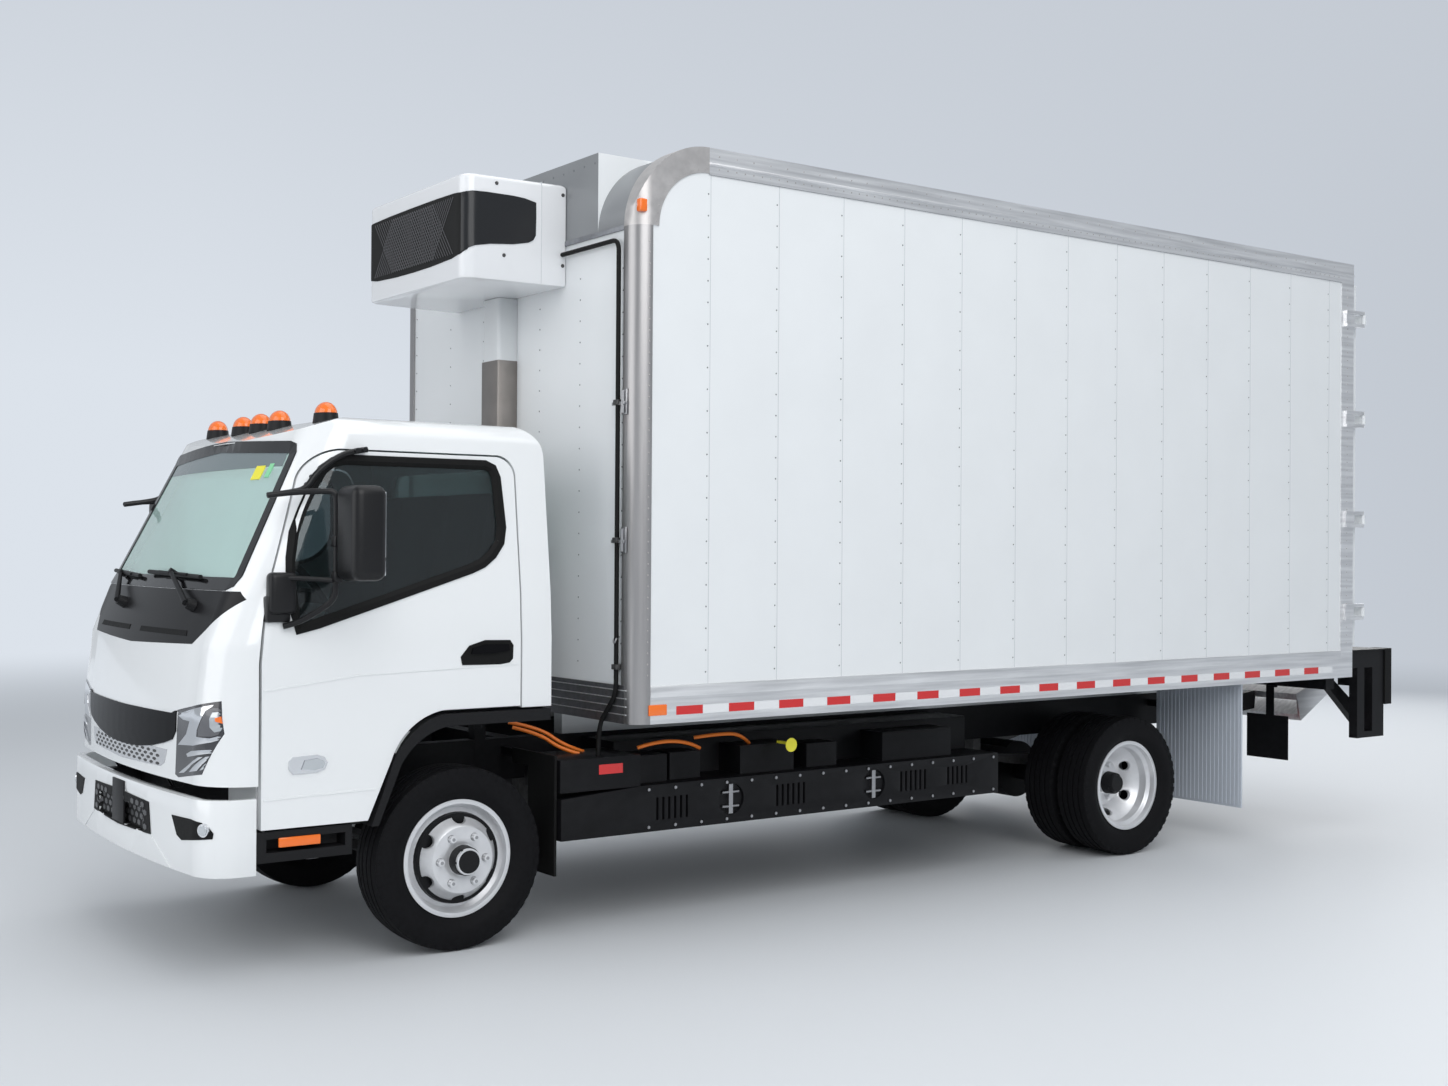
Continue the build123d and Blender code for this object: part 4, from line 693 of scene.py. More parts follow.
    def headlamps(self) -> None:
        """Two-tier headlamps: a projector above a bright shelf, slanted blades below, an amber corner."""
        self.bench.refined(self.frame, "headlamps", LAMP_DARK, 0.0, 25)
        lamp = bpy.data.objects["headlamps_finished"]
        outlines = (
            ("lamp_frame", CHROME, 0.004, [(-.640, 1.080), (-.790, 1.113), (-.905, 1.136), (-.900, 1.128),
                                           (-.872, 1.110), (-.826, 1.030), (-.822, 1.002), (-.896, 1.000),
                                           (-.956, 1.020), (-.958, 1.006), (-.902, .985), (-.798, .964),
                                           (-.655, .955), (-.730, 1.005), (-.760, 1.060), (-.700, 1.062)]),
            ("lamp_cell", LAMP_GREY, 0.006, [(-.878, 1.114), (-.906, 1.124), (-.940, 1.124), (-.956, 1.096),
                                             (-.954, 1.026), (-.902, 1.008), (-.838, 1.005), (-.834, 1.030)]),
            ("lamp_eye", LENS, 0.010, [(-.905, 1.105), (-.925, 1.108), (-.942, 1.090), (-.946, 1.060),
                                       (-.935, 1.032), (-.915, 1.026), (-.897, 1.045), (-.895, 1.080)]),
            ("lamp_amber", AMBER, 0.014, [(-.916, 1.084), (-.935, 1.090), (-.954, 1.082), (-.954, 1.062),
                                          (-.940, 1.063), (-.918, 1.070)]),
            ("lamp_blade_1", CHROME, 0.010, [(-.740, .925), (-.784, .941), (-.900, .955), (-.931, .967),
                                             (-.933, .946), (-.879, .937), (-.753, .914)]),
            ("lamp_blade_2", CHROME, 0.010, [(-.842, .921), (-.869, .925), (-.723, .847), (-.672, .840)]),
            ("lamp_blade_3", CHROME, 0.010, [(-.882, .926), (-.905, .929), (-.834, .865), (-.767, .854)]),
            ("lamp_blade_4", LENS, 0.010, [(-.912, .929), (-.931, .933), (-.913, .896), (-.886, .878),
                                           (-.851, .868)]))
        for name, finish, thickness, outline in outlines:
            patch = self.bench.emblem(name + "_left", outline, lamp, Axis.ALONG, thickness, finish, "cab", 2)
            self.bench.dress(self.bench.twin(patch, name + "_right"), finish, "cab")

    def nose(self) -> None:
        """Arched black band, pierced bright insert and the cowl's vent slots."""
        trim = bpy.data.objects["nose_trim_finished"]
        self.bench.tint(trim, CAB_WHITE, lambda middle, normal: middle.z < 1.25)
        half = [(.000, 1.078), (.590, 1.082), (.620, 1.092), (.636, 1.094), (.634, 1.010), (.600, .972),
                (.520, .952), (.400, .930), (.250, .913), (.110, .906), (.000, .904)]
        lower = [(-y, z) for y, z in reversed(half[1:-1])]
        band_back = self.bench.sheet("band", half + lower, Axis.ALONG, PROJECT_FROM_AHEAD, 0)
        shell = self.bench.join("nose_base",
                                [self.copy_of(trim), self.copy_of(bpy.data.objects["cab_shell_finished"])])
        self.bench.lay_on(band_back, shell, "x", 0.010, cuts=4)
        self.bench.smooth(band_back, 35)
        self.bench.dress(band_back, GLOSS_BLACK, "cab")
        insert = self.bench.emblem("insert_plate", [(-.545, .925), (.545, .925), (.520, .868), (.480, .850),
                                                    (0, .838), (-.480, .850), (-.520, .868)], shell,
                                   Axis.ALONG, .006, INSERT_SILVER, "cab", 4)
        rows = []
        for row in range(4):
            cell = self.bench.sheet("insert_cells",
                                    self.hexagon(-.450 + .035 * (row % 2), .858 + row * .0165, .021, .0068),
                                    Axis.ALONG, PROJECT_FROM_AHEAD, 0)
            self.bench.repeat(cell, 14 - (row % 2), Vector((0, .070, 0)))
            rows.append(cell)
        cells = self.bench.join("insert_cells", rows)
        self.bench.lay_on(cells, insert, "x", 0.002)
        self.bench.dress(cells, STEEL, "cab")
        for name, low, high in (("cowl_vent_left", -.62, -.08), ("cowl_vent_right", .08, .62)):
            self.bench.emblem(name, [(low, 1.402), (high, 1.402), (high * .98, 1.424), (low * .98, 1.424)],
                              trim, Axis.ALONG, .004, RUBBER, "cab")
        bpy.data.objects.remove(shell)

    @staticmethod
    def set_back(piece: bpy.types.Object, depth: float) -> None:
        """Draw a piece's front back, so that what is laid on it stays inside the truck's length.

        Args:
            piece: the piece, whose rear keeps its place.
            depth: how far its foremost point goes back.
        """
        places = [vertex.co.x for vertex in piece.data.vertices]
        rear = max(places)
        share = 1 - depth / (rear - min(places))
        piece.data.transform(Matrix.Translation((rear, 0, 0)) @ Matrix.Diagonal((share, 1, 1, 1))
                             @ Matrix.Translation((-rear, 0, 0)))

    @staticmethod
    def copy_of(piece: bpy.types.Object) -> bpy.types.Object:
        """A bare copy of a piece to lay things on, removed afterwards."""
        copy = bpy.data.objects.new(piece.name + "_base", piece.data.copy())
        bpy.context.scene.collection.objects.link(copy)
        return copy

    @staticmethod
    def hexagon(a: float, b: float, wide: float, tall: float) -> list[Flat]:
        """Six corners round a middle."""
        return [(a + wide * math.sin(k * math.pi / 3),
                 b + tall * math.cos(k * math.pi / 3)) for k in range(6)]

    def wipers(self) -> None:
        """Two parked wipers on the windshield's foot."""
        base = self.bench.join("wiper_base", [self.copy_of(bpy.data.objects[name + "_finished"])
                                              for name in ("cab_glass", "cab_shell", "nose_trim")])

        def spot(y: float, z: float, off: float) -> Vector:
            hit, place, _, _ = base.ray_cast(self.bench.at(-2.2, y, z), Vector((1, 0, 0)))
            return (place if hit else self.bench.at(-1.08, y, z)) + Vector((-off, 0, off * .5))

        for k, (pivot, elbow, tips) in enumerate((((.318, 1.515), (.560, 1.634),
                                                   ((.800, 1.646), (.215, 1.630))),
                                                  ((-.584, 1.525), (-.240, 1.648),
                                                   ((.100, 1.650), (-.550, 1.636))))):
            foot, knee = spot(*pivot, .0), spot(*elbow, .034)
            shoulder = foot + Vector((-.034, 0, .014))
            ends = [spot(*tip, .020) for tip in tips]
            parts = [self.bench.rod("wiper", foot, shoulder, .028, 24, .022),
                     self.bench.rod("wiper", shoulder - Vector((.004, 0, 0)), knee, .013, 12, .009),
                     self.bench.rod("wiper", ends[0], ends[1], .010, 10),
                     self.bench.rod("wiper", knee.lerp(ends[0], .55), knee.lerp(ends[1], .55), .007, 8),
                     self.bench.rod("wiper", knee + Vector((-.006, 0, .006)),
                                    knee + Vector((.022, 0, -.012)), .014, 12)]
            self.bench.dress(self.bench.join(f"wiper_{k + 1}", parts), PLASTIC, "cab")
        bpy.data.objects.remove(base)

    def roof(self) -> None:
        """Five amber marker lamps on the roof's brow."""
        shell = bpy.data.objects["cab_shell_finished"]
        for k, (x, y) in enumerate(self.roof_lamps):
            hit, place, _, _ = shell.ray_cast(self.bench.at(x, y, 3.0), Vector((0, 0, -1)))
            foot = place if hit else self.bench.at(x, y, 2.33)
            base = self.bench.rod(f"marker_base_{k + 1}", foot - Vector((0, 0, .012)),
                                  foot + Vector((0, 0, .030)), .062, 28, .056)
            wide = Matrix.Translation(foot) @ Matrix.Diagonal((.85, 1.25, 1, 1)) @ Matrix.Translation(-foot)
            base.data.transform(wide)
            self.bench.clear()
            bpy.ops.mesh.primitive_uv_sphere_add(segments=24, ring_count=12, radius=.054,
                                                 location=foot + Vector((0, 0, .026)))
            lens = bpy.context.object
            lens.name = f"marker_lens_{k + 1}"
            self.bench.settle(lens)
            lens.data.transform(wide)
            self.bench.smooth(lens, 60)
            self.bench.dress(base, PLASTIC, "cab")
            self.bench.dress(lens, AMBER, "cab")

    def door(self, side: int, word: str) -> None:
        """Handle, side lamp, window seal and sill lamp of one door.

        Args:
            side: -1 for the left, 1 for the right.
            word: the side's name.
        """
        skin = bpy.data.objects[f"cab_door_{word}_finished"]
        door = f"cab_door_{word}"
        self.laid(f"handle_cup_{word}", [(-.028, 1.264), (-.036, 1.300), (.005, 1.348), (.083, 1.371),
                                         (.207, 1.368), (.224, 1.345), (.222, 1.285), (.205, 1.268),
                                         (.158, 1.261)], skin, side, .006, RUBBER, door)
        self.laid(f"handle_grip_{word}", [(.012, 1.312), (.020, 1.338), (.085, 1.352), (.196, 1.350),
                                          (.200, 1.322), (.120, 1.312)], skin, side, .026, GLOSS_BLACK, door)
        self.laid(f"side_lamp_bezel_{word}", [(-.814, .866), (-.812, .900), (-.795, .914), (-.690, .918),
                                              (-.660, .908), (-.645, .884), (-.655, .858), (-.690, .846),
                                              (-.795, .844)], skin, side, .012, CHROME, door)
        self.laid(f"side_lamp_lens_{word}", [(-.760, .862), (-.745, .898), (-.690, .904), (-.668, .896),
                                             (-.658, .882), (-.668, .862), (-.700, .856)], skin, side, .024,
                  LENS, door)
        for name, line in (("upper", [(-.918, 1.186), (-.50, 1.236), (.25, 1.258)]),
                           ("lower", [(-.918, .742), (-.70, .748), (-.43, .752)])):
            strip = line + [(x, z + .007) for x, z in reversed(line)]
            self.laid(f"door_crease_{name}_{word}", strip, skin, side, .005, CAB_WHITE, door)
        sill = self.bench.on_side(f"sill_lamp_{word}", side, (-.850, .984, .548), (-.670, .997, .588), 0.005)
        self.bench.dress(sill, AMBER, "cab")
        base = self.bench.join("door_base", [self.copy_of(bpy.data.objects[piece + "_finished"])
                                             for piece in (door, "cab_shell", f"door_glass_{word}")])
        seal = self.ring(f"window_seal_{word}", self.window_edge, (-.012, .004, self.seal_width),
                         side * PROJECT_FROM_SIDE, base, Axis.ACROSS, .010)
        bpy.data.objects.remove(base)
        self.bench.dress(seal, RUBBER, door)

    def laid(self, name: str, outline: list[Flat], target: bpy.types.Object, side: int, thickness: float,
             finish: Finish, body: str) -> bpy.types.Object:
        """A patch laid on a door from outside and dressed.

        Args:
            name: the patch's name.
            outline: corners as distance behind the front axle and height.
            target: the panel.
            side: -1 for the left, 1 for the right.
            thickness: its thickness, half of it outside the panel.
            finish: its finish.
            body: the body it moves with.

        Returns:
            The patch.
        """
        patch = self.bench.sheet(name, outline, Axis.ACROSS, side * PROJECT_FROM_SIDE, 0)
        self.bench.lay_on(patch, target, "y", thickness, backwards=side > 0, cuts=2)
        self.bench.smooth(patch, 35)
        return self.bench.dress(patch, finish, body)

    def ring(self, name: str, edge: tuple[Flat, ...], reaches: tuple[float, ...], level: float,
             target: bpy.types.Object, axis: Axis, thickness: float) -> bpy.types.Object:
        """A border that follows an opening's edge, laid on the panels round it.

        Args:
            name: the border's name.
            edge: the opening's corners, clockwise as seen from outside the left or from ahead.
            reaches: how far each of the border's lines lies outside the opening's edge.
            level: where it starts from on the axis that it is projected along.
            target: the panels it lies on.
            axis: ALONG for an opening seen from ahead, ACROSS for one seen from the side.
            thickness: its thickness, half of it outside the panels.

        Returns:
            The border.
        """
        line = []
        for here, ahead in zip(edge, edge[1:] + edge[:1]):
            span = Vector((ahead[0] - here[0], ahead[1] - here[1]))
            parts = max(1, math.ceil(span.length / self.ring_step))
            line += [(here[0] + span.x * k / parts, here[1] + span.y * k / parts) for k in range(parts)]
        count = len(line)
        loops = []
        for reach in reaches:
            for k, (a, b) in enumerate(line):
                ahead, behind = line[(k + 1) % count], line[k - 1]
                run = Vector((ahead[0] - behind[0], ahead[1] - behind[1])).normalized()
                loops.append((a - run.y * reach, b + run.x * reach))
        self.bench.clear()
        bpy.ops.mesh.primitive_circle_add(vertices=count, radius=1, fill_type="NOTHING")
        border = bpy.context.object
        border.name = name
        bpy.ops.object.mode_set(mode="EDIT")
        bpy.ops.mesh.select_all(action="SELECT")
        for _ in reaches[1:]:
            bpy.ops.mesh.extrude_edges_move(TRANSFORM_OT_translate={"value": (0, 0, 0.001)})
        bpy.ops.object.mode_set(mode="OBJECT")
        for vertex, (a, b) in zip(border.data.vertices, loops):
            if axis is Axis.ALONG:
                vertex.co = (self.bench.front_axle + level, a, b)
            else:
                vertex.co = (self.bench.front_axle + a, level, b)
        self.bench.lay_on(border, target, "x" if axis is Axis.ALONG else "y", thickness, backwards=level > 0)
        return border

    def mirror(self, side: int, word: str) -> None:
        """Mirror head, its bent tube, brackets, base and glass."""
        def spot(x: float, y: float, z: float) -> Point:
            return x, side * y, z

        head = self.bench.on_side("mirror_parts", side, (-.684, 1.145, 1.640), (-.538, 1.352, 2.025), 0)
        self.bench.soften(head, .040, 6, 40)
        self.bench.smooth(head, 60)
        tube = self.bench.pipe("mirror_parts", [spot(-.905, .992, 1.985), spot(-.83, 1.02, 1.998),
                                                spot(-.72, 1.09, 2.004), spot(-.668, 1.118, 2.004),
                                                spot(-.664, 1.12, 1.96), spot(-.664, 1.12, 1.80),
                                                spot(-.664, 1.12, 1.62), spot(-.670, 1.115, 1.56),
                                                spot(-.72, 1.08, 1.515), spot(-.80, 1.03, 1.462),
                                                spot(-.842, 1.006, 1.452)], .0125)
        strut = self.bench.pipe("mirror_parts", [spot(-.860, 1.005, 1.649), spot(-.76, 1.06, 1.648),
                                                 spot(-.664, 1.12, 1.640)], .0105)
        clamps = [self.bench.on_side("mirror_parts", side, (-.682, 1.102, z - .022),
                                     (-.646, 1.150, z + .022), .006) for z in (1.80, 1.655)]
        strap = self.bench.pipe("mirror_parts", [spot(-.452, .935, 2.192), spot(-.520, .937, 2.182),
                                                 spot(-.600, .946, 2.150), spot(-.690, .952, 2.080),
                                                 spot(-.730, .962, 2.018), spot(-.800, .976, 2.000),
                                                 spot(-.905, .990, 1.985)], .0125)
        base = self.bench.on_side("mirror_parts", side, (-.905, .962, 1.500), (-.790, 1.032, 1.672), 0)
        self.bench.soften(base, .022, 4, 40)
        foot = self.bench.on_side("mirror_parts", side, (-.912, .960, 1.468), (-.812, 1.012, 1.575), .008)
        bolts = [self.bench.rod("mirror_parts", self.bench.at(x, side * .940, z),
                                self.bench.at(x, side * .962, z), .011, 12)
                 for x, z in ((-.470, 2.190), (-.505, 2.185), (-.700, 2.068), (-.722, 2.035))]
        whole = self.bench.join(f"mirror_assembly_{word}",
                                [head, tube, strut, *clamps, strap, base, foot, *bolts])
        self.bench.dress(whole, MIRROR_BLACK, f"cab_door_{word}")
        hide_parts(f"mirror_{word}")
        for name, low, high in (("main", 1.735, 2.000), ("wide", 1.662, 1.722)):
            pane = self.bench.on_side(f"mirror_{name}_{word}", side, (-.5410, 1.175, low),
                                      (-.5372, 1.322, high), 0.0004)
            self.bench.dress(pane, CHROME, f"cab_door_{word}")

    def bumper(self) -> None:
        """Lower grille cells, fog lamps and the plate's bracket."""
        self.bench.refined(self.frame, "bumper_grille", PLASTIC, 0.0)
        for name in ("front_bumper_finished", "bumper_grille_finished"):
            self.set_back(bpy.data.objects[name], .007)
        skin = self.bench.join("bumper_base", [self.copy_of(bpy.data.objects["front_bumper_finished"]),
                                               self.copy_of(bpy.data.objects["bumper_grille_finished"])])
        surround = self.bench.emblem("intake_surround", [(-.425, .556), (-.400, .690), (0, .700),
                                                         (.400, .690), (.425, .556), (0, .545)], skin,
                                     Axis.ALONG, .008, RUBBER, "chassis", 5)
        rows = []
        for row in range(4):
            cell = self.bench.sheet("intake_cells",
                                    self.hexagon(-.365 + .033 * (row % 2), .580 + row * .030, .024, .0135),
                                    Axis.ALONG, PROJECT_FROM_AHEAD, 0)
            self.bench.repeat(cell, 12 - (row % 2), Vector((0, .0664, 0)))
            rows.append(cell)
        cells = self.bench.join("intake_cells", rows)
        self.bench.lay_on(cells, surround, "x", .004)
        self.bench.dress(cells, MESH_GREY, "chassis")
        for side in (-1, 1):
            outline = [(-.655, .668), (-.847, .673), (-.915, .666), (-.944, .649), (-.958, .625),
                       (-.955, .603), (-.756, .577), (-.709, .592)]
            self.bench.emblem(f"fog_recess_{side}", [(-side * y, z) for y, z in outline], skin, Axis.ALONG,
                              .006, RUBBER, "chassis", 3)
            hit, place, normal, _ = skin.ray_cast(self.bench.at(PROJECT_FROM_AHEAD, side * .925, .636),
                                                  Vector((1, 0, 0)))
            if hit:
                lamp = self.bench.rod(f"fog_lamp_{side}", place - normal * .004, place + normal * .012,
                                      .024, 28, .020)
                rim = self.bench.rod(f"fog_rim_{side}", place - normal * .004, place + normal * .008, .029,
                                     28, .027)
                self.bench.dress(lamp, LENS, "chassis")
                self.bench.dress(rim, CHROME, "chassis")
            self.bench.emblem(f"lip_crease_{side}", [(side * .425, .548), (side * .440, .548),
                                                     (side * .650, .449), (side * .632, .449)], skin,
                              Axis.ALONG, .005, CAB_WHITE, "chassis", 2)
        bpy.data.objects.remove(skin)
        plate = self.bench.block("plate_bracket", (-1.2095, -.085, .555), (-1.1990, .085, .742), 0.003)
        self.bench.dress(plate, PLASTIC, "chassis")


# ---------------------------------------------------------------------------------------------------
# Wheels and tyres
# ---------------------------------------------------------------------------------------------------
@dataclass
class Tyre:
    """A ribbed road tyre, spun from its section, with shoulder lugs."""

    bench: Bench
    radius: float = TYRE_RADIUS
    seat: float = 0.2479
    half: float = 0.113
    bead: float = 0.0757
    steps: int = 96
    grooves: tuple[float, ...] = (-0.060, -0.021, 0.021, 0.060)
    groove_width: float = 0.010
    groove_depth: float = 0.011

    def section(self) -> list[Flat]:
        """The section as (across, radius), from one bead over the crown to the other."""
        side = [(self.bead, self.seat), (self.bead + .004, self.seat + .016), (.100, self.seat + .040),
                (.110, self.seat + .062), (self.half, self.seat + .080), (.1115, self.seat + .100),
                (.1075, self.seat + .122), (.1050, self.radius - .016), (.0985, self.radius - .0055)]
        crown = []
        for middle in reversed(self.grooves):
            for across, deep in ((middle + .5 * self.groove_width, 0), (middle + .35 * self.groove_width, 1),
                                 (middle - .35 * self.groove_width, 1), (middle - .5 * self.groove_width, 0)):
                height = self.radius - 0.0045 * (across / .0985) ** 2
                crown.append((across, height - deep * self.groove_depth))
        return side + crown + [(-a, r) for a, r in reversed(side)]

    def build(self, name: str, axle: float, middle: float, finish: Finish, body: str) -> bpy.types.Object:
        """Spin one tyre about its axle.

        Args:
            name: the tyre's name.
            axle: the axle's place behind the front axle.
            middle: the tyre's middle across the truck.
            finish: its finish.
            body: the body it turns with.

        Returns:
            The tyre.
        """
        outline = self.section()
        centre = self.bench.at(axle, middle, self.radius)
        self.bench.clear()
        bpy.ops.mesh.primitive_circle_add(vertices=len(outline), radius=1, fill_type="NOTHING")
        piece = bpy.context.object
        piece.name = name
        for vertex, (across, height) in zip(piece.data.vertices, outline):
            vertex.co = centre + Vector((0, across, height))
        bpy.ops.object.mode_set(mode="EDIT")
        bpy.ops.mesh.select_all(action="SELECT")
        bpy.ops.mesh.spin(steps=self.steps, angle=math.tau, center=centre, axis=(0, 1, 0))
        bpy.ops.mesh.select_all(action="SELECT")
        bpy.ops.mesh.remove_doubles(threshold=0.0001)
        bpy.ops.mesh.normals_make_consistent(inside=False)
        bpy.ops.object.mode_set(mode="OBJECT")
        self.bench.smooth(piece, 35)
        lugs = self.lugs(centre)
        whole = self.bench.join(name, [piece, lugs])
        return self.bench.dress(whole, finish, body, "tyre_black")

    def lugs(self, centre: Vector) -> bpy.types.Object:
        """Shoulder lugs round both edges of the tread, each modelled once and turned round the axle."""
        made = []
        for side in (-1, 1):
            for k in range(48):
                angle = math.tau * k / 48
                self.bench.clear()
                bpy.ops.mesh.primitive_cube_add(size=1)
                lug = bpy.context.object
                lug.data.transform(Matrix.Diagonal((.030, .012, .030, 1)))
                lug.data.transform(Matrix.Rotation(side * math.radians(8), 4, "X"))
                lug.data.transform(Matrix.Translation((0, side * .1005, self.radius - .0225)))
                lug.data.transform(Matrix.Translation(centre) @ Matrix.Rotation(angle, 4, "Y"))
                made.append(lug)
        return self.bench.join("lugs", made)


@dataclass
class Wheels:
    """Rims, hub caps, nuts and tyres on all corners."""

    bench: Bench
    frame: dict
    front_face: float = 0.961
    rear_face: float = 0.835
    drum_r: float = 0.205
    studs: int = 6
    stud_r: float = 0.111125

    def build(self) -> None:
        """Dress every wheel."""
        tyre = Tyre(self.bench)
        for node in ("rim_front_left", "rim_front_right", "rims_rear_left", "rims_rear_right"):
            self.bench.refined(self.frame, node, WHEEL, 0.0015, 30)
        for side, word in ((-1, "left"), (1, "right")):
            front = tyre.build(f"road_tyre_front_{word}", 0, side * .8325, TYRE, f"front_wheel_{word}")
            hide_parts(f"tyre_front_{word}")
            outer = tyre.build(f"road_tyre_rear_outer_{word}", WHEELBASE, side * .9535, TYRE,
                               f"rear_wheels_{word}")
            tyre.build(f"road_tyre_rear_inner_{word}", WHEELBASE, side * .6965, TYRE, f"rear_wheels_{word}")
            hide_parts(f"tyres_rear_{word}")
            self.drum(side, word)
            self.cap(f"hub_cap_front_{word}", 0, side, self.front_face, 0.066, f"front_wheel_{word}")
            self.cap(f"hub_cap_rear_{word}", WHEELBASE, side, self.rear_face + .055, 0.069,
                     f"rear_wheels_{word}")

    def drum(self, side: int, word: str) -> None:
        """A dark brake drum that shows through the front wheel's hand holes, and its bright nuts."""
        middle = self.bench.at(0, 0, TYRE_RADIUS)
        drum = self.bench.rod(f"brake_drum_{word}", middle + Vector((0, side * .876, 0)),
                              middle + Vector((0, side * .912, 0)), self.drum_r, 48, self.drum_r - .006)
        self.bench.dress(drum, FRAME_BLACK, f"front_wheel_{word}")
        nuts = []
        for k in range(self.studs):
            turn = Matrix.Rotation(math.tau * k / self.studs, 4, "Y") @ Vector((self.stud_r, 0, 0))
            foot = middle + turn + Vector((0, side * (self.front_face - .004), 0))
            out = Vector((0, side, 0))
            nuts += [self.bench.rod("nuts", foot, foot + out * .006, .020, 24, .018),
                     self.bench.rod("nuts", foot + out * .006, foot + out * .024, .0155, 6),
                     self.bench.rod("nuts", foot + out * .024, foot + out * .030, .0085, 16, .007)]
        self.bench.dress(self.bench.join(f"wheel_nuts_{word}", nuts), NUT, f"front_wheel_{word}")

    def cap(self, name: str, axle: float, side: int, face: float, length: float, body: str) -> None:
        """A black hub cap with a bolted rim.

        Args:
            name: the cap's name.
            axle: its axle's place.
            side: -1 for the left, 1 for the right.
            face: where it starts, outboard of the truck's middle.
            length: how far it stands out.
            body: the body it turns with.
        """
        start = self.bench.at(axle, side * (face - .002), TYRE_RADIUS)
        out = Vector((0, side, 0))
        parts = [self.bench.rod(name, start, start + out * length * .75, .0665, 40, .0625),
                 self.bench.rod(name, start + out * length * .75, start + out * (length + .004), .056, 40,
                                .048)]
        for k in range(6):
            turn = Matrix.Rotation(math.tau * k / 6, 4, "Y") @ Vector((0.054, 0, 0))
            foot = start + turn + out * length * .73
            parts.append(self.bench.rod(name, foot, foot + out * .010, .007, 6))
        cap = self.bench.join(name, parts)
        self.bench.dress(cap, PLASTIC, body)


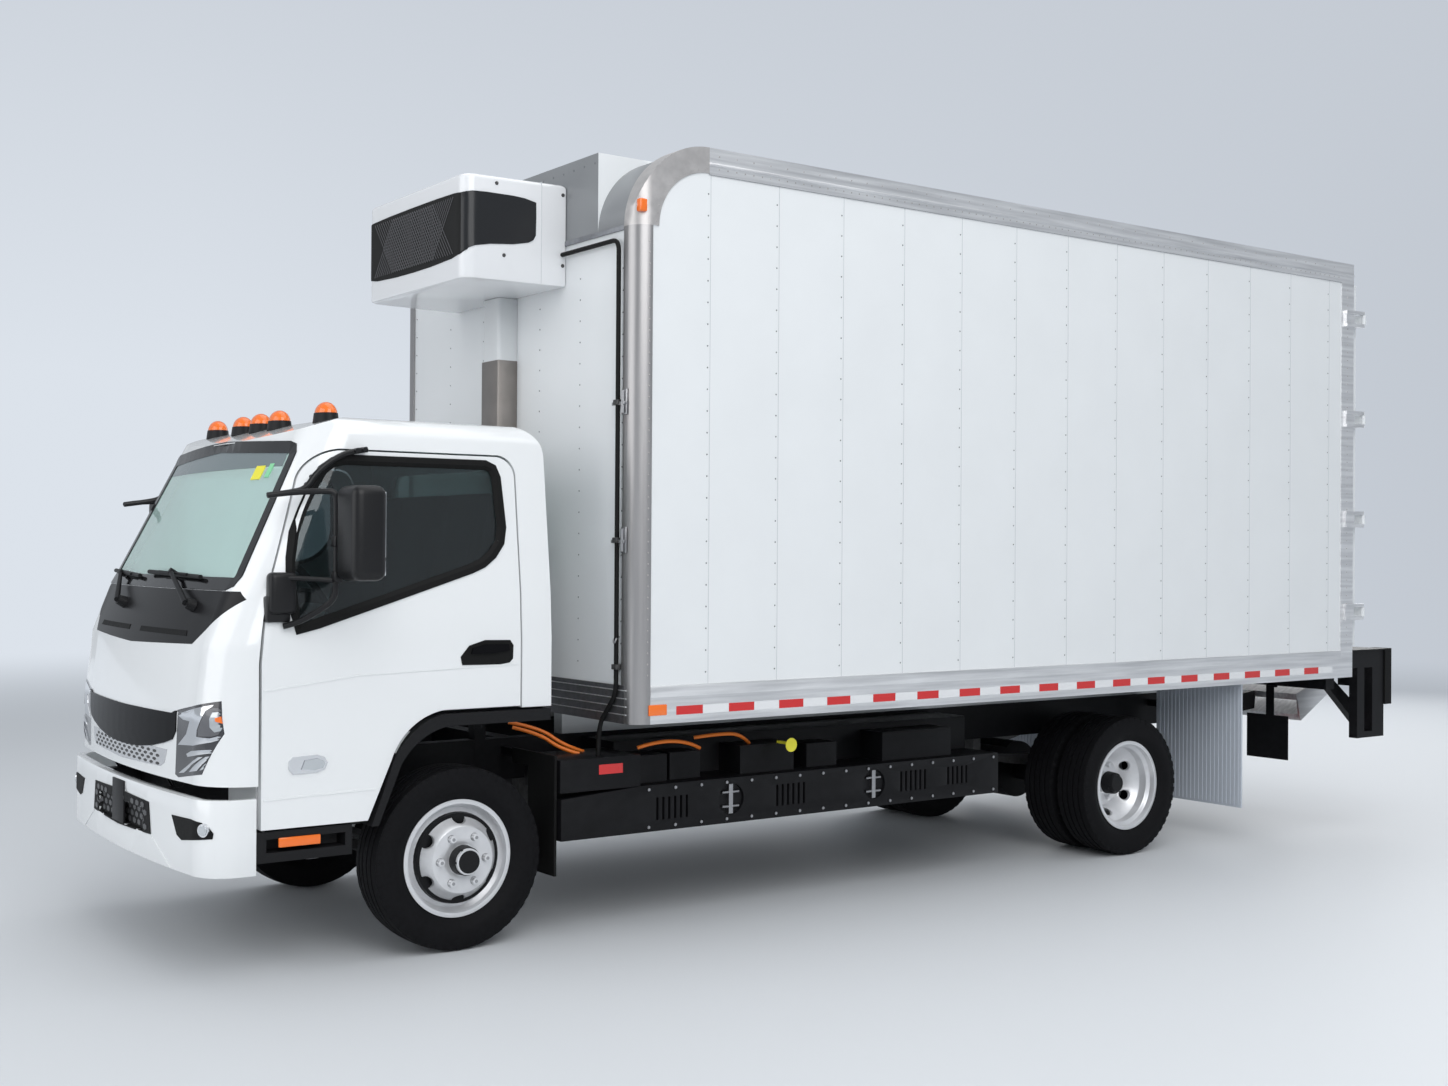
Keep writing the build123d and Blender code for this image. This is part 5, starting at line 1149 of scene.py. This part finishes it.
# ---------------------------------------------------------------------------------------------------
# Box body
# ---------------------------------------------------------------------------------------------------
@dataclass
class Box:
    """Panels, rails, rivets, reflective tape and marker lamps of the insulated box."""

    bench: Bench
    frame: dict
    side_y: float = 1.213
    rail_y: float = 1.219
    first_seam: float = 1.1234
    bay: float = 0.4064
    seams: int = 13
    rivet_pitch: float = 0.1016
    rivet_r: float = 0.0048
    close_pitch: float = 0.0508
    post_end: float = 0.8115
    turn_x: float = 1.124
    turn_z: float = 3.257
    turn_rivet_r: float = 0.295

    def build(self) -> None:
        """Dress the box."""
        shell = self.bench.refined(self.frame, "box_shell", PANEL_WHITE, 0.0, 30)
        self.bench.cut(shell, [(Vector((0, 0, self.turn_z)), Vector((0, 0, 1)))])
        # Forward-facing nose faces above the turn take a dark grey: the panel is grey, and the extra darkness
        # is painted shade behind the cooler.
        self.bench.tint(shell, NOSE_GREY_AND_SHADE, lambda middle, normal: middle.z > self.turn_z and normal.x < -0.3
                        and middle.x - self.bench.front_axle < self.turn_x)
        bead = self.bench.block("nose_bead", (.7270, -1.10, 3.243), (.7375, 1.10, 3.268), .003)
        self.bench.dress(bead, TOP_ALLOY, "chassis")
        self.metalwork()
        self.bench.refined(self.frame, "cargo_floor", FLOOR_ALLOY, 0.0, 30)
        self.bench.refined(self.frame, "cargo_door_left", PANEL_WHITE, 0.0, 30)
        self.bench.refined(self.frame, "cargo_door_right", PANEL_WHITE, 0.0, 30)
        for side, word in ((-1, "left"), (1, "right")):
            self.side_rivets(side, word)
            self.seam_strips(side, word)
            self.tape(side, word)
            self.posts(side, word)
        self.front_rivets()
        self.rear_marks()

    def metalwork(self) -> None:
        """The aluminium frame: bright rails, duller posts, cast corners and a grey top rail."""
        frame_piece = self.bench.refined(self.frame, "box_frame", ALLOY, 0.0, 30)
        ahead = self.bench.front_axle
        self.bench.cut(frame_piece, [(Vector((ahead + self.post_end, 0, 0)), Vector((1, 0, 0))),
                                     (Vector((ahead + self.turn_x, 0, 0)), Vector((1, 0, 0))),
                                     (Vector((0, 0, self.turn_z)), Vector((0, 0, 1))),
                                     (Vector((0, 0, RAIL_TOP)), Vector((0, 0, 1)))])
        self.bench.tint(frame_piece, POST_ALLOY, lambda middle, normal: middle.x - ahead < self.post_end
                        and RAIL_TOP < middle.z < self.turn_z)
        self.bench.tint(frame_piece, CAST_ALLOY, lambda middle, normal: middle.z > self.turn_z
                        and middle.x - ahead < self.turn_x)
        self.bench.tint(frame_piece, TOP_ALLOY, lambda middle,
                        normal: middle.z > 3.5 and middle.x - ahead > self.turn_x)
        self.bench.tint(frame_piece, FOOT_ALLOY, lambda middle,
                        normal: middle.z < RAIL_TOP and normal.x < -0.5
                        and middle.x - ahead < self.post_end and abs(middle.y) < 1.12)
        self.bench.tint(frame_piece, POST_ALLOY, lambda middle,
                        normal: middle.z < RAIL_TOP and abs(middle.y) > 1.12
                        and middle.x - ahead < self.post_end)

    def rivet(self, centre: Vector, out: Vector, radius: float) -> bpy.types.Object:
        """One domed rivet on a face."""
        return self.bench.rod("rivet", centre - out * .001, centre + out * .0022, radius, 8, radius * .6)

    def side_rivets(self, side: int, word: str) -> None:
        """Rivet columns at the panel seams and rows along both rails."""
        out = Vector((0, side, 0))
        columns = []
        for k in range(self.seams):
            column = self.rivet(self.bench.at(self.first_seam + k * self.bay, side * self.side_y, 1.205),
                                out, self.rivet_r)
            self.bench.repeat(column, 23, Vector((0, 0, self.rivet_pitch)))
            columns.append(column)
        # The seam rivets' dark grey is partly painted shade round their heads.
        self.bench.dress(self.bench.join(f"seam_rivets_{word}", columns), RIVET_GREY_AND_SHADE, "chassis")
        rows = []
        for x, z, count, pitch, y in ((.86, 1.125, 104, self.close_pitch, self.rail_y),
                                      (1.18, 3.560, 98, self.close_pitch, self.rail_y),
                                      (1.18, 3.620, 49, self.rivet_pitch, self.rail_y)):
            row = self.rivet(self.bench.at(x, side * y, z), out, self.rivet_r)
            self.bench.repeat(row, count, Vector((pitch, 0, 0)))
            rows.append(row)
        for x, z, count in ((.795, 1.20, 40), (6.205, 1.20, 46)):
            row = self.rivet(self.bench.at(x, side * self.rail_y, z), out, self.rivet_r)
            self.bench.repeat(row, count, Vector((0, 0, self.close_pitch)))
            rows.append(row)
        middle = self.bench.at(self.turn_x, side * self.rail_y, self.turn_z)
        for k in range(12):
            angle = math.radians(4 + 7.4 * k)
            spot = middle + Vector((-math.cos(angle), 0, math.sin(angle))) * self.turn_rivet_r
            rows.append(self.rivet(spot, out, self.rivet_r))
        self.bench.dress(self.bench.join(f"rail_rivets_{word}", rows), CAST_ALLOY, "chassis")

    def seam_strips(self, side: int, word: str) -> None:
        """Panel laps: one thin strip at each seam."""
        y = (side * (self.side_y - .002), side * (self.side_y + .0012))
        strip = self.bench.block(f"panel_laps_{word}", (self.first_seam + .012, min(y), 1.152),
                                 (self.first_seam + .0145, max(y), 3.530))
        self.bench.repeat(strip, self.seams, Vector((self.bay, 0, 0)))
        self.bench.dress(strip, LAP_GREY, "chassis")

    def tape(self, side: int, word: str) -> None:
        """Red and white reflective tape along the base rail, an amber side reflector, the rail's flange and
        the roof's gutter.
        """
        y = (side * (self.rail_y - .001), side * (self.rail_y + .0008))
        for name, start, finish in (("red", .955, RED), ("white", 1.105, TAPE_WHITE)):
            piece = self.bench.block(f"tape_{name}_{word}", (start, min(y), 1.013),
                                     (start + .1495, max(y), 1.053))
            self.bench.repeat(piece, 17, Vector((.300, 0, 0)))
            self.bench.dress(piece, finish, "chassis")
        lamp = self.bench.on_side(f"side_reflector_{word}", side, (.800, 1.218, 1.015), (.900, 1.226, 1.065),
                                  .004)
        self.bench.dress(lamp, AMBER, "chassis")
        flange = self.bench.on_side(f"rail_flange_{word}", side, (.811, 1.2185, 1.098),
                                    (6.144, 1.2225, RAIL_TOP), .001)
        self.bench.dress(flange, ALLOY, "chassis")
        gutter = self.bench.on_side(f"roof_gutter_{word}", side, (1.124, 1.2185, 3.574),
                                    (6.274, 1.226, 3.586), .002)
        self.bench.dress(gutter, ALLOY, "chassis")

    def posts(self, side: int, word: str) -> None:
        """Marker lamp on the casting."""
        lamp = self.bench.on_side(f"casting_lamp_{word}", side, (.735, 1.190, 3.312), (.775, 1.228, 3.372),
                                  .008)
        self.bench.dress(lamp, AMBER, "chassis")

    def front_rivets(self) -> None:
        """Rivet columns on the box's nose."""
        out = Vector((-1, 0, 0))
        columns = []
        for y in (-1.085, -.704, -.316, .281, .663, 1.085):
            column = self.rivet(self.bench.at(.736, y, 1.24), out, self.rivet_r)
            self.bench.repeat(column, 19, Vector((0, 0, self.rivet_pitch)))
            columns.append(column)
        top = self.rivet(self.bench.at(.736, -.83, 3.60), out, .007)
        self.bench.repeat(top, 18, Vector((0, .0976, 0)))
        columns.append(top)
        # The nose rivets' dark grey is partly painted shade round their heads.
        self.bench.dress(self.bench.join("nose_rivets", columns), RIVET_GREY_AND_SHADE, "chassis")
        for name, y, low, high, finish in (("white", -1.118, 1.905, 2.120, LABEL),
                                           ("white_low", -1.118, 1.560, 1.880, LABEL),
                                           ("navy", -1.128, 1.245, 1.330, NAVY)):
            plate = self.bench.block(f"blank_label_{name}", (.7345, y - .025, low), (.7365, y + .025, high))
            self.bench.dress(plate, finish, "chassis")
        ribs = self.bench.block("nose_ribs", (.7215, -1.15, 1.015), (.7365, 1.15, 1.020), .001)
        self.bench.repeat(ribs, 4, Vector((0, 0, .037)))
        self.bench.dress(ribs, ALLOY, "chassis")
        for k, z in enumerate((2.450, 1.817)):
            parts = [self.bench.block("latch", (.7165, -1.150, z - .060), (.7245, -1.108, z + .060), .004),
                     self.bench.block("latch", (.7045, -1.146, z - .014), (.7175, -1.040, z + .002), .003),
                     self.bench.rod("latch", self.bench.at(.710, -1.129, z - .052),
                                    self.bench.at(.710, -1.129, z + .052), .0085, 16)]
            self.bench.dress(self.bench.join(f"nose_latch_{k + 1}", parts), NUT, "chassis")

    def rear_marks(self) -> None:
        """Red marker lamps on the rear frame."""
        for k, y in enumerate((-.45, -.15, 0, .15, .45)):
            lamp = self.bench.block(f"rear_marker_{k + 1}", (6.2735, y - .05, 3.585),
                                    (6.287, y + .05, 3.620), .003)
            self.bench.dress(lamp, RED, "chassis")


# ---------------------------------------------------------------------------------------------------
# Cooler
# ---------------------------------------------------------------------------------------------------
@dataclass
class Cooler:
    """Nose-mounted cooling unit with its mesh front, dark flanks and duct."""

    bench: Bench
    frame: dict
    face: float = 0.196

    def build(self) -> None:
        """Dress the unit."""
        self.bench.refined(self.frame, "cooler_housing", COVER, 0.012, 25)
        self.bench.refined(self.frame, "air_duct", NOSE_WHITE, 0.004, 30)
        housing = bpy.data.objects["cooler_housing_finished"]
        half = [(.260, 3.455), (.450, 3.451), (.515, 3.446), (.536, 3.440), (.539, 3.200), (.530, 3.178),
                (.500, 3.158), (.420, 3.146), (.200, 3.137)]
        front = [(0, 3.456)] + half + [(0, 3.135)] + [(-y, z) for y, z in reversed(half)]
        # A black sheet under the wires paints the shade inside the front opening.
        self.bench.emblem("mesh_backing", front, housing, Axis.ALONG, .007, PAINTED_SHADE_BLACK, "chassis", 4)
        self.mesh_front()
        flank = [(.202, 3.168), (.225, 3.186), (.254, 3.199), (.332, 3.214), (.451, 3.224), (.530, 3.240),
                 (.556, 3.254), (.569, 3.278), (.571, 3.360), (.570, 3.436), (.510, 3.450), (.449, 3.455),
                 (.310, 3.457), (.240, 3.455), (.202, 3.448)]
        for side in (-1, 1):
            patch = self.bench.sheet(f"flank_vent_{side}", flank, Axis.ACROSS, side * 1.2, 0)
            self.bench.lay_on(patch, housing, "y", .008, backwards=side > 0, cuts=3)
            self.bench.smooth(patch, 40)
            self.bench.dress(patch, FLANK_DARK, "chassis")
            for k, (x, z) in enumerate(((.364, 3.505), (.715, 3.490), (.404, 3.167), (.715, 3.147))):
                hit, place, normal, _ = housing.ray_cast(self.bench.at(x, side * 1.2, z),
                                                         Vector((0, -side, 0)))
                if hit:
                    bolt = self.bench.rod(f"cover_bolt_{side}_{k + 1}", place - normal * .002,
                                          place + normal * .004, .010, 16, .008)
                    self.bench.dress(bolt, STEEL, "chassis")
        seam = self.bench.block("cover_seam", (.5995, -.5645, 3.052), (.6010, .5645, 3.5405))
        self.bench.dress(seam, LAP_GREY, "chassis")
        sleeve = self.bench.block("duct_sleeve", (.6235, -.0875, 1.30), (.7358, .0875, 2.73), .004)
        self.bench.dress(sleeve, DUCT_STEEL, "chassis")

    def mesh_front(self) -> None:
        """Crossed wires over the front opening."""
        wires = []
        for k in range(2):
            lean = .11 if k == 0 else -.11
            start = self.bench.at(self.face - .0050, -.330 - lean, 3.165)
            wire = self.bench.rod("mesh_wires", start, start + Vector((0, lean * 2, .270)), .0026, 4)
            self.bench.repeat(wire, 28, Vector((0, .0245, 0)))
            wires.append(wire)
        self.bench.dress(self.bench.join("mesh_wires", wires), WIRE_GREY, "chassis")


# ---------------------------------------------------------------------------------------------------
# Chassis
# ---------------------------------------------------------------------------------------------------
@dataclass
class Underside:
    """Frame, battery packs, springs and rear fittings."""

    bench: Bench
    frame: dict

    def build(self) -> None:
        """Dress the running gear."""
        plain = (("ladder_frame", FRAME_BLACK), ("front_axle", FRAME_BLACK), ("rear_axle", FRAME_BLACK),
                 ("leaf_springs", STEEL), ("knuckle_left", STEEL), ("knuckle_right", STEEL),
                 ("tie_rod", STEEL),
                 ("lift_arms", FRAME_BLACK), ("dock_frame", FRAME_BLACK), ("dock_bumpers", RUBBER),
                 ("gate_platform", ALLOY), ("mud_flaps", FLAP))
        for node, finish in plain:
            self.bench.refined(self.frame, node, finish, 0.0, 35)
        self.bench.tint(bpy.data.objects["mud_flaps_finished"], RUBBER,
                        lambda middle, normal: middle.x - self.bench.front_axle < 1.0)
        self.bench.refined(self.frame, "battery_packs", PACK_BLACK, 0.004, 35)
        self.pack_bolts()
        self.ports()
        self.cables()
        self.flaps()
        self.tail_lamps()

    def pack_bolts(self) -> None:
        """Bolts along the guard and a blank red label on the junction box."""
        for side, word in ((-1, "left"), (1, "right")):
            out = Vector((0, side, 0))
            rows = []
            for z in (.462, .640):
                start = self.bench.at(.96, side * .984, z)
                bolt = self.bench.rod("pack_bolts", start, start + out * .006, .008, 6)
                self.bench.repeat(bolt, 16, Vector((.152, 0, 0)))
                rows.append(bolt)
            self.bench.dress(self.bench.join(f"pack_bolts_{word}", rows), NUT, "chassis")
            label = self.bench.on_side(f"red_label_{word}", side, (.690, .974, .730), (.820, .9765, .775))
            self.bench.dress(label, RED, "chassis")
        tag = self.bench.rod("yellow_tag", self.bench.at(1.80, -1.004, .800),
                             self.bench.at(1.80, -1.008, .800), .035, 24)
        stem = self.bench.block("tag_stem", (1.79, -1.008, .800), (1.81, -.90, .812))
        self.bench.dress(tag, YELLOW, "chassis")
        self.bench.dress(stem, YELLOW, "chassis")

    def ports(self) -> None:
        """Bolted brackets inside the round openings of the guard."""
        for side, word in ((-1, "left"), (1, "right")):
            parts = []
            for x in (1.444, 2.369):
                parts.append(self.bench.on_side("port", side, (x - .012, .966, .485), (x + .012, .983, .629)))
                for z in (.520, .590):
                    start = self.bench.at(x - .050, side * .976, z)
                    parts.append(self.bench.rod("port", start, start + Vector((.1, 0, 0)), .007, 8))
            self.bench.dress(self.bench.join(f"port_brackets_{word}", parts), NUT, "chassis")

    def cables(self) -> None:
        """Orange high-voltage runs from the cab's rear to the packs."""
        runs = (((.44, -.60, .93), (.55, -.66, .90), (.62, -.74, .83), (.70, -.78, .806)),
                ((.44, -.56, .95), (.58, -.62, .92), (.66, -.70, .84), (.76, -.72, .806)),
                ((.95, -.90, .83), (1.05, -.93, .86), (1.25, -.90, .84), (1.34, -.86, .80)),
                ((1.32, -.84, .85), (1.45, -.90, .87), (1.60, -.86, .85), (1.66, -.84, .80)))
        for k, route in enumerate(runs):
            run = self.bench.strand(f"high_voltage_run_{k + 1}",
                                    [tuple(self.bench.at(*place)) for place in route], .009)
            self.bench.dress(run, ORANGE, "chassis")

    def cooler_cable(self) -> None:
        """The cooler's clipped cable down the box's nose, and its clips."""
        route = [(.712, -.5704, 3.200), (.712, -.800, 3.200), (.712, -.973, 3.200), (.712, -1.083, 3.200),
                 (.712, -1.083, 3.090), (.712, -1.083, 2.450), (.712, -1.083, 1.817), (.712, -1.083, 1.235),
                 (.712, -1.083, 1.110), (.712, -1.010, 1.034), (.712, -.930, .950), (.712, -.930, .8083)]
        cable = self.bench.strand("cooler_cable_run", [tuple(self.bench.at(*place)) for place in route], .011)
        self.bench.dress(cable, RUBBER, "chassis")
        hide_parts("cooler_cable")
        clips = [self.bench.block("clips", (.697, -1.103, z - .012), (.7355, -1.063, z + .012), .003)
                 for z in (2.450, 1.817, 1.235)]
        self.bench.dress(self.bench.join("cable_clips", clips), STEEL, "chassis")
        hook = [(.728, -1.083, 1.372), (.716, -1.083, 1.372), (.700, -1.098, 1.360), (.700, -1.083, 1.340),
                (.704, -1.068, 1.356), (.716, -1.070, 1.372), (.728, -1.073, 1.376)]
        self.bench.dress(self.bench.pipe("cable_hook", hook, .004), NUT, "chassis")

    def flaps(self) -> None:
        """Ribs on the rear splash guards."""
        for side, word in ((-1, "left"), (1, "right")):
            low, high = sorted((side * .530, side * .545))
            rib = self.bench.block(f"flap_ribs_{word}", (5.1965, low, .225), (5.2, high, .95))
            self.bench.repeat(rib, 21, Vector((0, side * .030, 0)))
            self.bench.dress(rib, FLAP, "chassis")

    def tail_lamps(self) -> None:
        """Two-tier tail lamps on their plates."""
        for side, word in ((-1, "left"), (1, "right")):
            for k, (finish, y, z, radius) in enumerate(((RED, .66, .62, .05), (RED, .80, .62, .05),
                                                        (LABEL, .66, .49, .04), (AMBER, .80, .49, .04))):
                foot = self.bench.at(6.0895, side * y, z)
                lamp = self.bench.rod(f"tail_lamp_{k + 1}_{word}", foot, foot + Vector((.022, 0, 0)), radius,
                                      28, radius * .9)
                self.bench.dress(lamp, finish, "chassis")


# ---------------------------------------------------------------------------------------------------
# Studio
# ---------------------------------------------------------------------------------------------------
@dataclass
class Studio:
    """Floor, backdrop, soft lights and the camera."""

    bench: Bench
    yaw: float = math.radians(54.02)
    pitch: float = math.radians(0.262)
    roll: float = math.radians(0.362)
    lens: float = 41.08
    eye: Point = (-3.348, -7.512, 1.772)

    def build(self) -> None:
        """Set up the studio."""
        self.floor()
        self.lights()
        self.world()
        bpy.context.scene.view_settings.view_transform = "Standard"

    @staticmethod
    def backdrop(tree: bpy.types.NodeTree, direction: bpy.types.NodeSocket) -> bpy.types.NodeSocket:
        """The backdrop's colour in a direction: paler to the left and low, greyer to the right and high.

        Args:
            tree: the node tree to build in.
            direction: a socket that gives the direction looked in.

        Returns:
            The socket with the colour.
        """
        lean = tree.nodes.new("ShaderNodeVectorMath")
        lean.operation = "DOT_PRODUCT"
        lean.inputs[1].default_value = (-0.707, 0.707, 0)
        tree.links.new(direction, lean.inputs[0])
        sideways = tree.nodes.new("ShaderNodeMapRange")
        sideways.inputs["From Min"].default_value = -0.35
        sideways.inputs["From Max"].default_value = 0.45
        tree.links.new(lean.outputs["Value"], sideways.inputs["Value"])
        flat = tree.nodes.new("ShaderNodeMix")
        flat.data_type = "RGBA"
        flat.inputs["A"].default_value = (0.52, 0.56, 0.62, 1)
        flat.inputs["B"].default_value = (0.715, 0.765, 0.83, 1)
        tree.links.new(sideways.outputs["Result"], flat.inputs["Factor"])
        axes = tree.nodes.new("ShaderNodeSeparateXYZ")
        tree.links.new(direction, axes.inputs["Vector"])
        height = tree.nodes.new("ShaderNodeMapRange")
        height.inputs["From Min"].default_value = 0.10
        height.inputs["From Max"].default_value = 0.42
        tree.links.new(axes.outputs["Z"], height.inputs["Value"])
        colour = tree.nodes.new("ShaderNodeMix")
        colour.data_type = "RGBA"
        colour.inputs["B"].default_value = (0.56, 0.60, 0.66, 1)
        tree.links.new(flat.outputs["Result"], colour.inputs["A"])
        tree.links.new(height.outputs["Result"], colour.inputs["Factor"])
        return colour.outputs["Result"]

    @staticmethod
    def seen(tree: bpy.types.NodeTree, rays: tuple[str, ...]) -> bpy.types.NodeSocket:
        """One for rays of the kinds given, and nought for others.

        Args:
            tree: the node tree to build in.
            rays: two or more of the light path's outputs.

        Returns:
            The socket with the number.
        """
        path = tree.nodes.new("ShaderNodeLightPath")
        found = path.outputs[rays[0]]
        for ray in rays[1:]:
            larger = tree.nodes.new("ShaderNodeMath")
            larger.operation = "MAXIMUM"
            tree.links.new(found, larger.inputs[0])
            tree.links.new(path.outputs[ray], larger.inputs[1])
            found = larger.outputs["Value"]
        return found

    def floor(self) -> None:
        """A pale floor that fades into the backdrop away from the truck."""
        self.bench.clear()
        bpy.ops.mesh.primitive_circle_add(vertices=96, radius=120, fill_type="NGON", location=(0, 0, 0))
        floor = bpy.context.object
        floor.name = "studio_floor"
        material = Finish("floor_grey", (0.66, 0.68, 0.70), 0.55).material()
        tree = material.node_tree
        place = tree.nodes.new("ShaderNodeNewGeometry")
        reach = tree.nodes.new("ShaderNodeVectorMath")
        reach.operation = "LENGTH"
        tree.links.new(place.outputs["Position"], reach.inputs[0])
        fade = tree.nodes.new("ShaderNodeMapRange")
        fade.interpolation_type = "SMOOTHSTEP"
        fade.inputs["From Min"].default_value = 8.0
        fade.inputs["From Max"].default_value = 22.0
        tree.links.new(reach.outputs["Value"], fade.inputs["Value"])
        away = tree.nodes.new("ShaderNodeVectorMath")
        away.operation = "SCALE"
        away.inputs["Scale"].default_value = -1.0
        tree.links.new(place.outputs["Incoming"], away.inputs[0])
        shine = tree.nodes.new("ShaderNodeEmission")
        tree.links.new(self.backdrop(tree, away.outputs["Vector"]), shine.inputs["Color"])
        share = tree.nodes.new("ShaderNodeMath")
        share.operation = "MULTIPLY"
        tree.links.new(fade.outputs["Result"], share.inputs[0])
        seen = self.seen(tree, ("Is Camera Ray", "Is Transmission Ray", "Is Glossy Ray"))
        tree.links.new(seen, share.inputs[1])
        blend = tree.nodes.new("ShaderNodeMixShader")
        tree.links.new(share.outputs["Value"], blend.inputs["Fac"])
        tree.links.new(tree.nodes["Principled BSDF"].outputs["BSDF"], blend.inputs[1])
        tree.links.new(shine.outputs["Emission"], blend.inputs[2])
        tree.links.new(blend.outputs["Shader"], tree.nodes["Material Output"].inputs["Surface"])
        floor.data.materials.append(material)

    def lights(self) -> None:
        """Large soft panels above, ahead and beside the truck."""
        panels = (("key", (-5.0, -10.0, 8.0), (0.2, 0, 1.6), 9.0, 700.0),
                  ("top", (0.5, -1.0, 9.5), (0.5, 0, 0), 11.0, 370.0),
                  ("fill", (-12.0, 1.0, 5.0), (0, 0, 1.5), 8.0, 300.0),
                  ("rear", (11.0, 5.0, 6.0), (1, 0, 1.5), 8.0, 380.0))
        for name, place, aim, size, power in panels:
            data = bpy.data.lights.new(name, "AREA")
            data.shape, data.size, data.energy = "SQUARE", size, power
            lamp = bpy.data.objects.new(name, data)
            lamp.location = place
            lamp.rotation_euler = (Vector(aim) - Vector(place)).to_track_quat("-Z", "Y").to_euler()
            bpy.context.scene.collection.objects.link(lamp)

    def world(self) -> None:
        """Even grey light from all round, with the backdrop's own colour seen behind."""
        world = bpy.data.worlds.new("studio")
        bpy.context.scene.world = world
        world.use_nodes = True
        tree = world.node_tree
        light = tree.nodes["Background"]
        light.inputs["Color"].default_value = (0.62, 0.66, 0.71, 1)
        light.inputs["Strength"].default_value = 0.72
        place = tree.nodes.new("ShaderNodeTexCoord")
        view = tree.nodes.new("ShaderNodeBackground")
        tree.links.new(self.backdrop(tree, place.outputs["Generated"]), view.inputs["Color"])
        blend = tree.nodes.new("ShaderNodeMixShader")
        seen = self.seen(tree, ("Is Camera Ray", "Is Transmission Ray"))
        tree.links.new(seen, blend.inputs["Fac"])
        tree.links.new(light.outputs["Background"], blend.inputs[1])
        tree.links.new(view.outputs["Background"], blend.inputs[2])
        tree.links.new(blend.outputs["Shader"], tree.nodes["World Output"].inputs["Surface"])

    def camera(self) -> None:
        """A camera at standing height off the front-left corner."""
        forward = Vector((math.cos(self.yaw) * math.cos(self.pitch),
                          math.sin(self.yaw) * math.cos(self.pitch),
                          math.sin(self.pitch)))
        right = forward.cross(Vector((0, 0, 1))).normalized()
        up = right.cross(forward)
        turned_right = math.cos(self.roll) * right + math.sin(self.roll) * up
        turned_up = math.cos(self.roll) * up - math.sin(self.roll) * right
        data = bpy.data.cameras.new("camera")
        data.lens, data.sensor_width = self.lens, 36
        data.clip_end = 300
        camera = bpy.data.objects.new("camera", data)
        place = self.bench.at(*self.eye)
        camera.matrix_world = Matrix((
            (turned_right.x, turned_up.x, -forward.x, place.x),
            (turned_right.y, turned_up.y, -forward.y, place.y),
            (turned_right.z, turned_up.z, -forward.z, place.z), (0, 0, 0, 1)))
        bpy.context.scene.collection.objects.link(camera)
        bpy.context.scene.camera = camera


def main() -> None:
    """Dress the truck and set up its studio."""
    logging.basicConfig(level=logging.INFO, format="%(message)s")
    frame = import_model()
    axle_low, axle_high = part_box("front_axle")
    bench = Bench((axle_low.x + axle_high.x) / 2)
    studio, underside = Studio(bench), Underside(bench, frame)
    studio.camera()
    underside.cooler_cable()
    for part in (Cab(bench, frame), Wheels(bench, frame), Box(bench, frame), Cooler(bench, frame),
                 underside, studio):
        part.build()


if __name__ == "__main__":
    main()
